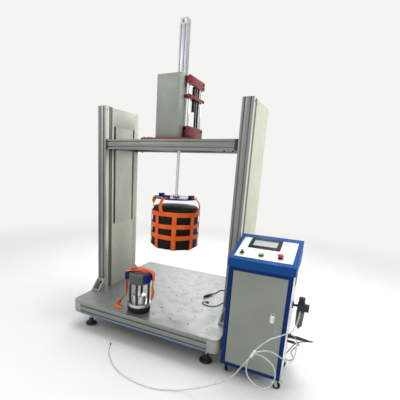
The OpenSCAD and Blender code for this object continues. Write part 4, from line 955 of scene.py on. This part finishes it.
makeBag()
webPieces = []
for level, z in enumerate(impactBag["bands"]):
    spots = [around(k * 15, netWeb["radius"] + netWeb["levelWander"] * math.sin(k * 1.7 + level),
                    z + netWeb["heightWander"] * math.sin(k * 0.9 + 2 * level)) for k in range(24)]
    webPieces.append(band("levelBand", spots, [(0, 0, 1)] * 24, netWeb, "ram", 0.009, True))
for k in range(netWeb["uprights"] // 2):
    turn = netWeb["firstUpright"] + 360 / netWeb["uprights"] * k
    out = netWeb["radius"] + netWeb["uprightOut"]
    under = impactBag["low"] - netWeb["under"] - netWeb["stack"] * k
    bend = impactBag["edge"] + netWeb["bendOut"]
    down = [(out, z) for z in netWeb["uprightHeights"]]
    down += [(out - bend * (1 - math.cos(math.radians(a))), under + bend * (1 - math.sin(math.radians(a))))
             for a in (0, 22.5, 45, 67.5, 90)] + [(r, under) for r in netWeb["underRadii"]]
    spots = [around(turn, r, z) for r, z in down] + [around(turn + 180, r, z) for r, z in reversed(down)]
    sideways = around(turn + 90, 1, 0)
    sideways = (sideways[0], sideways[1] - impactBag["axis"][1], 0)
    webPieces.append(band("uprightBand", spots, [sideways] * len(spots), netWeb, "ram", 0.009))
net = joined("bagNet", webPieces)
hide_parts("bag_net")
print("bag and net made")


# Lifting straps: through the disc's ears, bowed out past its edge and back to the top band
def liftStrap(turn, twists):
    spots = [Vector(around(turn, r, z)) for r, z in liftStraps["path"]]
    out = Vector(around(turn, 1, 0)) - Vector(around(turn, 0, 0))
    level = Vector((-out.y, out.x, 0))
    sides = []
    for i, twist in enumerate(twists):
        ahead = (spots[min(i + 1, len(spots) - 1)] - spots[max(i - 1, 0)]).normalized()
        sides.append(Matrix.Rotation(math.radians(twist), 3, ahead) @ level)
    return band("liftStrap", spots, sides, liftStraps, "ram", 0.006)


straps = joined("liftingStraps", [liftStrap(turn, twists) for turn, twists in liftStraps["twists"].items()])
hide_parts("bag_straps")

# Impactor webbing
looseWeb = {"centre": (-65, -545, 0), "width": 0.034, "thick": 0.0024}


def looseBand(name, spots, sides, step):
    # points in millimetres from the impactor's middle; sides gives the width's direction at each
    return band(name, [metres(spot) + metres(looseWeb["centre"]) for spot in spots], sides, looseWeb,
                "impactor", step)


def across(*leans):
    # level width directions, each leaning this much from the Y axis towards X
    return [(lean, 1, 0) for lean in leans]


overHead = looseBand("overHead", [
    (-122, 0, 120), (-117.5, 1, 160), (-120, -1, 215), (-117, 0, 285), (-108, 0, 326), (-80, 0, 331),
    (-50, 2, 350), (-15, 4, 364), (25, 4, 363), (65, 1, 356), (100, -2, 350), (124, -4, 338),
    (132, -5, 315), (130, -4, 285), (123, -1, 258), (118.5, 1, 235), (121.5, 0, 205), (126, -1, 175),
    (121.5, 1, 145), (117.5, 0, 112)],
    across(*[0] * 10) + [(0.05, 1, 0.05), (0.1, 1, 0.1), (0.1, 1, 0.05)]
    + across(0, -0.15, -0.1, 0.15, 0.3, 0.2, 0), 0.008)
foldedPile = looseBand("foldedPile", [
    (-66, -12, 327.5), (-30, -10, 328.5), (15, -6, 329), (50, -4, 332), (62, -2, 337), (52, 0, 342.5),
    (15, 4, 341), (-20, 8, 338.5), (-50, 10, 337), (-62.5, 10, 339.5), (-55, 9, 344), (-20, 4, 350)],
    across(0.1, 0.05, 0, 0, 0, -0.05, -0.1, -0.12, -0.1, -0.1, -0.1, -0.1), 0.005)
onDeck = looseBand("onDeck", [
    (-121, 0, 121), (-133, -1, 100), (-154, -4, 72), (-175, -10, 44), (-188, -22, 18), (-189, -38, 3.6),
    (-176, -52, 2), (-156, -61, 2), (-134, -66, 2.4)],
    across(0, 0, 0.1, 0.3) + [(0.8, 0.8, 0), (0.9, 0.6, 0), (0.6, 0.9, 0)] + across(0.35, 0.25), 0.005)
frontFold = looseBand("frontFold", [
    (-104, -42, 326.2), (-80, -36, 329), (-52, -29, 337), (-20, -22, 345), (14, -16, 349),
    (46, -12, 346), (74, -10, 339)],
    across(0.3, 0.3, 0.25, 0.2, 0.15, 0.1, 0.05), 0.006)
impactorWeb = joined("impactorWebbing", [overHead, foldedPile, onDeck, frontFold])
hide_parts("impactor_straps")
print("webbing made")

# Small fittings: post caps, trim strips, the screen's page, legend plates and switch collars
console = {
    "origin": (0.672, -0.665, 0.600), "rise": 0.096, "run": 0.380,  # the slope's lower left corner, its tilt
    "skin": 0.0015, "switchRow": 0.090, "legendRow": (0.058, 0.070), "legends": (0.056, 0.178),
    "legendHalf": 0.015, "legendTop": 0.0023,
    "collars": {0.178: (0.0136, 0.0165, 0.0095), 0.295: (0.0116, 0.0150, 0.0085)},  # radii and height
    "screen": ((0.0975, 0.2125), (0.2505, 0.2975)), "glass": (0.0066, 0.0068),
    "corners": ((0.026, 0.364), (0.047, 0.325)),
}
fittings = {
    "capHeight": (1.6301, 1.6325), "capDepth": (-0.328, -0.250), "caps": (-columnOut, columnIn),
    "trimHeight": (-0.106, -0.098), "trimThick": 0.0008, "deckHalf": (0.650, 0.680), "corner": 0.081,
    # the latch recess's painted-shade sheet: its middle, then its width, height and thickness
    "recess": (0.973, -0.6580, 0.251), "recessSize": (0.019, 0.059, 0.0002),
}
slopeTurn = Matrix.Rotation(math.atan2(console["rise"], console["run"]), 4, "X")
slopePlace = Matrix.Translation(console["origin"]) @ slopeTurn
slopeNormal = tuple(slopeTurn.to_3x3() @ Vector((0, 0, 1)))


def onSlope(x, y, out):
    return tuple(slopePlace @ Vector((x, y, out)))


for x in fittings["caps"]:
    (front, back), (low, high) = fittings["capDepth"], fittings["capHeight"]
    block("postCap", (x + 0.001, front, low), (x + 0.079, back, high), "cover", "bench", 0.6)
low, high = fittings["trimHeight"]
thick, corner = fittings["trimThick"], fittings["corner"]
deckX, deckY = fittings["deckHalf"]
for y in (-deckY - thick, deckY):
    block("trimStrip", (corner - deckX, y, low), (deckX - corner, y + thick, high), "trimBlue", "bench", 0.2)
for x in (-deckX - thick, deckX):
    block("trimStrip", (x, corner - deckY, low), (x + thick, deckY - corner, high), "trimBlue", "bench", 0.2)
for x in console["legends"]:
    (front, back), side = console["legendRow"], console["legendHalf"]
    block("legendPlate", (x - side, front, console["skin"]), (x + side, back, console["legendTop"]), "legend",
          "bench", 0.2, slopePlace)
for x, (inner, outer, high) in console["collars"].items():
    turned("switchCollar", [(console["skin"], inner), (console["skin"], outer), (high - 0.001, outer),
                            (high, outer - 0.001), (high, inner)],
           onSlope(x, console["switchRow"], 0), slopeNormal, "blackPlastic", "bench", 40, ring=True)


def screenWindow():
    low, high = console["screen"]
    corners = [(low[0], low[1]), (high[0], low[1]), (high[0], high[1]), (low[0], high[1])]
    mesh = meshOf("screenWindow", [onSlope(x, y, out) for out in console["glass"] for x, y in corners],
                  [(3, 2, 1, 0), (4, 5, 6, 7), (0, 1, 5, 4), (1, 2, 6, 5), (2, 3, 7, 6), (3, 0, 4, 7)])
    layer = mesh.uv_layers.new(name="page")
    for loop in mesh.loops:
        x, y = corners[loop.vertex_index % 4]
        layer.data[loop.index].uv = ((x - low[0]) / (high[0] - low[0]), (y - low[1]) / (high[1] - low[1]))
    keep("screenWindow", mesh, "page", "bench")


def latchRecess(steps=32):
    # painted shade: a thin black oval sheet standing for the shade in the latch's recess, upright and facing
    # the viewer, its back against the door
    (mx, my, mz), (wide, tall, thick) = fittings["recess"], fittings["recessSize"]
    straight = (tall - wide) / 2
    ring = []
    for k in range(steps):
        a = 2 * math.pi * k / steps
        shift = straight if math.sin(a) >= 0 else -straight
        ring.append((wide / 2 * math.cos(a), wide / 2 * math.sin(a) + shift))
    points = [(mx + x, my - out, mz + z) for out in (0, thick) for x, z in ring]
    faces = [tuple(range(steps)), tuple(range(2 * steps - 1, steps - 1, -1))]
    faces += [(k, k + steps, (k + 1) % steps + steps, (k + 1) % steps) for k in range(steps)]
    keep("latchRecess", meshOf("latchRecess", points, faces), "blackPlastic", "door")


screenWindow()
latchRecess()
print("fittings made")


# Screws, by Geometry Nodes
def addInput(tree, label, kind, value=None):
    socket = tree.interface.new_socket(label, in_out="INPUT", socket_type=kind)
    if value is not None:
        socket.default_value = value
    return socket.identifier


def times(tree, source, factor):
    return maths(tree, "MULTIPLY", {0: source}, {1: factor})


def lifted(tree, mesh, height):
    move = put(tree, "ShaderNodeCombineXYZ", None, {2: height}).outputs[0]
    return put(tree, "GeometryNodeTransform", None, {"Geometry": mesh, "Translation": move}).outputs[0]


# A socket head on each point, turned to the point's facing, with a hexagon recess
def screwTree():
    tree = bpy.data.node_groups.new("socketScrews", "GeometryNodeTree")
    addInput(tree, "Places", "NodeSocketGeometry")
    ids = {"diameter": addInput(tree, "Head Diameter", "NodeSocketFloat", 0.010),
           "height": addInput(tree, "Head Height", "NodeSocketFloat", 0.005),
           "socket": addInput(tree, "Socket Size", "NodeSocketFloat", 0.005),
           "seed": addInput(tree, "Turn Seed", "NodeSocketInt", 4),
           "finish": addInput(tree, "Finish", "NodeSocketMaterial")}
    tree.interface.new_socket("Screws", in_out="OUTPUT", socket_type="NodeSocketGeometry")
    places, diameter, height, socket, seed, finish = list(put(tree, "NodeGroupInput").outputs)[:6]
    radius, straight = times(tree, diameter, 0.5), times(tree, height, 0.82)
    shank = put(tree, "GeometryNodeMeshCylinder", {"Vertices": 20}, {"Radius": radius, "Depth": straight})
    rim = put(tree, "GeometryNodeMeshCone", {"Vertices": 20}, {
        "Radius Bottom": radius, "Radius Top": times(tree, diameter, 0.43),
        "Depth": times(tree, height, 0.18)})
    head = put(tree, "GeometryNodeMeshBoolean", {"operation": "UNION"})
    tree.links.new(lifted(tree, shank.outputs[0], times(tree, height, 0.41)), head.inputs[1])
    tree.links.new(lifted(tree, rim.outputs[0], times(tree, height, 0.82)), head.inputs[1])
    # the hexagon's corner radius is 0.577 of its width across flats
    recess = put(tree, "GeometryNodeMeshCylinder", {"Vertices": 6},
                 {"Radius": times(tree, socket, 0.577), "Depth": height})
    cutHead = put(tree, "GeometryNodeMeshBoolean", {"operation": "DIFFERENCE"})
    tree.links.new(head.outputs[0], cutHead.inputs[0])
    tree.links.new(lifted(tree, recess.outputs[0], times(tree, height, 0.95)), cutHead.inputs[1])
    facing = put(tree, "GeometryNodeInputNamedAttribute", {"data_type": "FLOAT_VECTOR", "Name": "facing"})
    aimed = put(tree, "FunctionNodeAlignRotationToVector", {"axis": "Z"}, {"Vector": facing.outputs[0]})
    angle = put(tree, "FunctionNodeRandomValue", {"data_type": "FLOAT", 2: 0.0, 3: 6.28}, {"Seed": seed})
    spin = put(tree, "FunctionNodeAxisAngleToRotation", {"Axis": (0, 0, 1)}, {"Angle": angle.outputs[1]})
    turn = put(tree, "FunctionNodeRotateRotation", {"rotation_space": "LOCAL"},
               {0: aimed.outputs[0], 1: spin.outputs[0]})
    spread = put(tree, "GeometryNodeInstanceOnPoints", None,
                 {"Points": places, "Instance": cutHead.outputs[0], "Rotation": turn.outputs[0]})
    real = put(tree, "GeometryNodeRealizeInstances", None, {0: spread.outputs[0]})
    done = put(tree, "GeometryNodeSetMaterial", None, {"Geometry": real.outputs[0], "Material": finish})
    put(tree, "NodeGroupOutput", None, {0: done.outputs[0]})
    return tree, ids


screwNodes, screwIds = screwTree()


def screws(name, body, spots, sizes, finish="screw", seed=4):
    # spots are pairs of place and facing; sizes are the head's diameter, its height and its socket, in mm
    mesh = meshOf(name, [spot for spot, _ in spots])
    facing = mesh.attributes.new("facing", "FLOAT_VECTOR", "POINT")
    for item, (_, way) in zip(facing.data, spots):
        item.vector = way
    made = keep(name, mesh, finish)
    step = made.modifiers.new("screws", "NODES")
    step.node_group = screwNodes
    for key, value in zip(("diameter", "height", "socket"), sizes):
        step[screwIds[key]] = value / 1000
    step[screwIds["seed"]] = seed
    step[screwIds["finish"]] = finishes[finish]
    bakeModifiers(made)
    smoothByAngle(made.data, 35)
    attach(made, body)


def grid(xs, ys, zs, way):
    return [((x, y, z), way) for x in xs for y in ys for z in zs]


def ringOf(middle, radius, turns):
    x, y, z = middle
    return [((x + radius * math.cos(a), y + radius * math.sin(a), z), (0, 0, 1))
            for a in [math.radians(turn) for turn in turns]]


both = (-1, 1)
seats = {
    "cageSide": 0.138, "cageLow": (1.392, 1.448), "cageTop": (1.788, 1.816), "cageMid": 1.6885,
    "base": 1.372, "cylinder": 2.2741, "disc": 0.913, "head": 0.325, "beamUnder": 1.280,
    "gussets": ((-0.389, 0.010, (0, 0, 1)), (-0.339, 0.060, (0, -1, 0)),
                (0.269, 0.010, (0, 0, 1)), (0.219, 0.060, (0, 1, 0))),
    "strips": (0.026, 1.604), "panels": (0.03, 0.40, 1.60), "covers": (0.03, 0.55, 1.08, 1.60),
    "sides": ((1.0635, 1), (0.6705, -1)), "sideRows": (-0.146, 0.190, 0.522),
}
screws("cageLowScrews", "tower", grid([seats["cageSide"]], (-0.212, -0.190, 0.066, 0.088), seats["cageLow"],
                                      (1, 0, 0)), (10, 4, 5))
screws("cageTopScrews", "tower", grid([seats["cageSide"]], (-0.214, -0.192, 0.055, 0.077), seats["cageTop"],
                                      (1, 0, 0)), (10, 4, 5), seed=7)
screws("cageMidScrews", "tower", grid([seats["cageSide"]], (-0.212, 0.088), [seats["cageMid"]], (1, 0, 0)),
       (9, 4, 4.5))
screws("baseScrews", "tower", grid((-0.20, -0.155, 0.175, 0.20), (-0.309, -0.269, 0.149, 0.189),
                                   [seats["base"]], (0, 0, 1)), (13, 8, 6))
screws("headScrews", "tower", grid((-0.023, 0.023), (-0.083, -0.037), [seats["cylinder"]], (0, 0, 1)),
       (8.6, 5, 4), "brightScrew")
screws("gussetScrews", "bench", [((x * (columnIn + columnOut) / 2, y, z), way) for x in both
                                 for y, z, way in seats["gussets"]], (18, 11, 9))
screws("stripScrews", "bench", [((x * at, -0.3035, z), (x * way, 0, 0)) for x in both
                                for at, way in ((columnIn, -1), (columnOut, 1)) for z in seats["strips"]],
       (9, 3, 4))
screws("panelScrews", "bench", [spot for x in both for spot in grid(
    [x * columnIn], (-0.217, 0.137), seats["panels"], (-x, 0, 0))], (8, 3, 4), "brightScrew")
screws("coverScrews", "bench", [spot for x in both for spot in grid(
    [x * columnOut], (-0.215, 0.195), seats["covers"], (x, 0, 0))], (8, 3, 4), "brightScrew")
screws("discScrews", "ram", ringOf((*impactBag["axis"], seats["disc"]), 0.022, range(30, 360, 60)),
       (7, 4, 3.5))
screws("impactorScrews", "impactor", ringOf(metres(looseWeb["centre"]) + Vector((0, 0, seats["head"])), 0.069,
                                            range(15, 360, 90)), (8, 4, 4))
screws("beamBolts", "beam", grid((-0.47, -0.535, 0.47, 0.535), (-0.309, 0.129), [seats["beamUnder"]],
                                 (0, 0, -1)), (13, 10, 6))
screws("sideScrews", "bench", [spot for x, way in seats["sides"] for spot in grid(
    [x], (-0.633, -0.317), seats["sideRows"], (way, 0, 0))], (8, 2.5, 4), "brightScrew")
screws("panelCornerScrews", "bench", [(onSlope(x, y, console["skin"]), slopeNormal)
                                      for x in console["corners"][0] for y in console["corners"][1]],
       (7, 2, 3.5), "brightScrew")
print("screws placed")
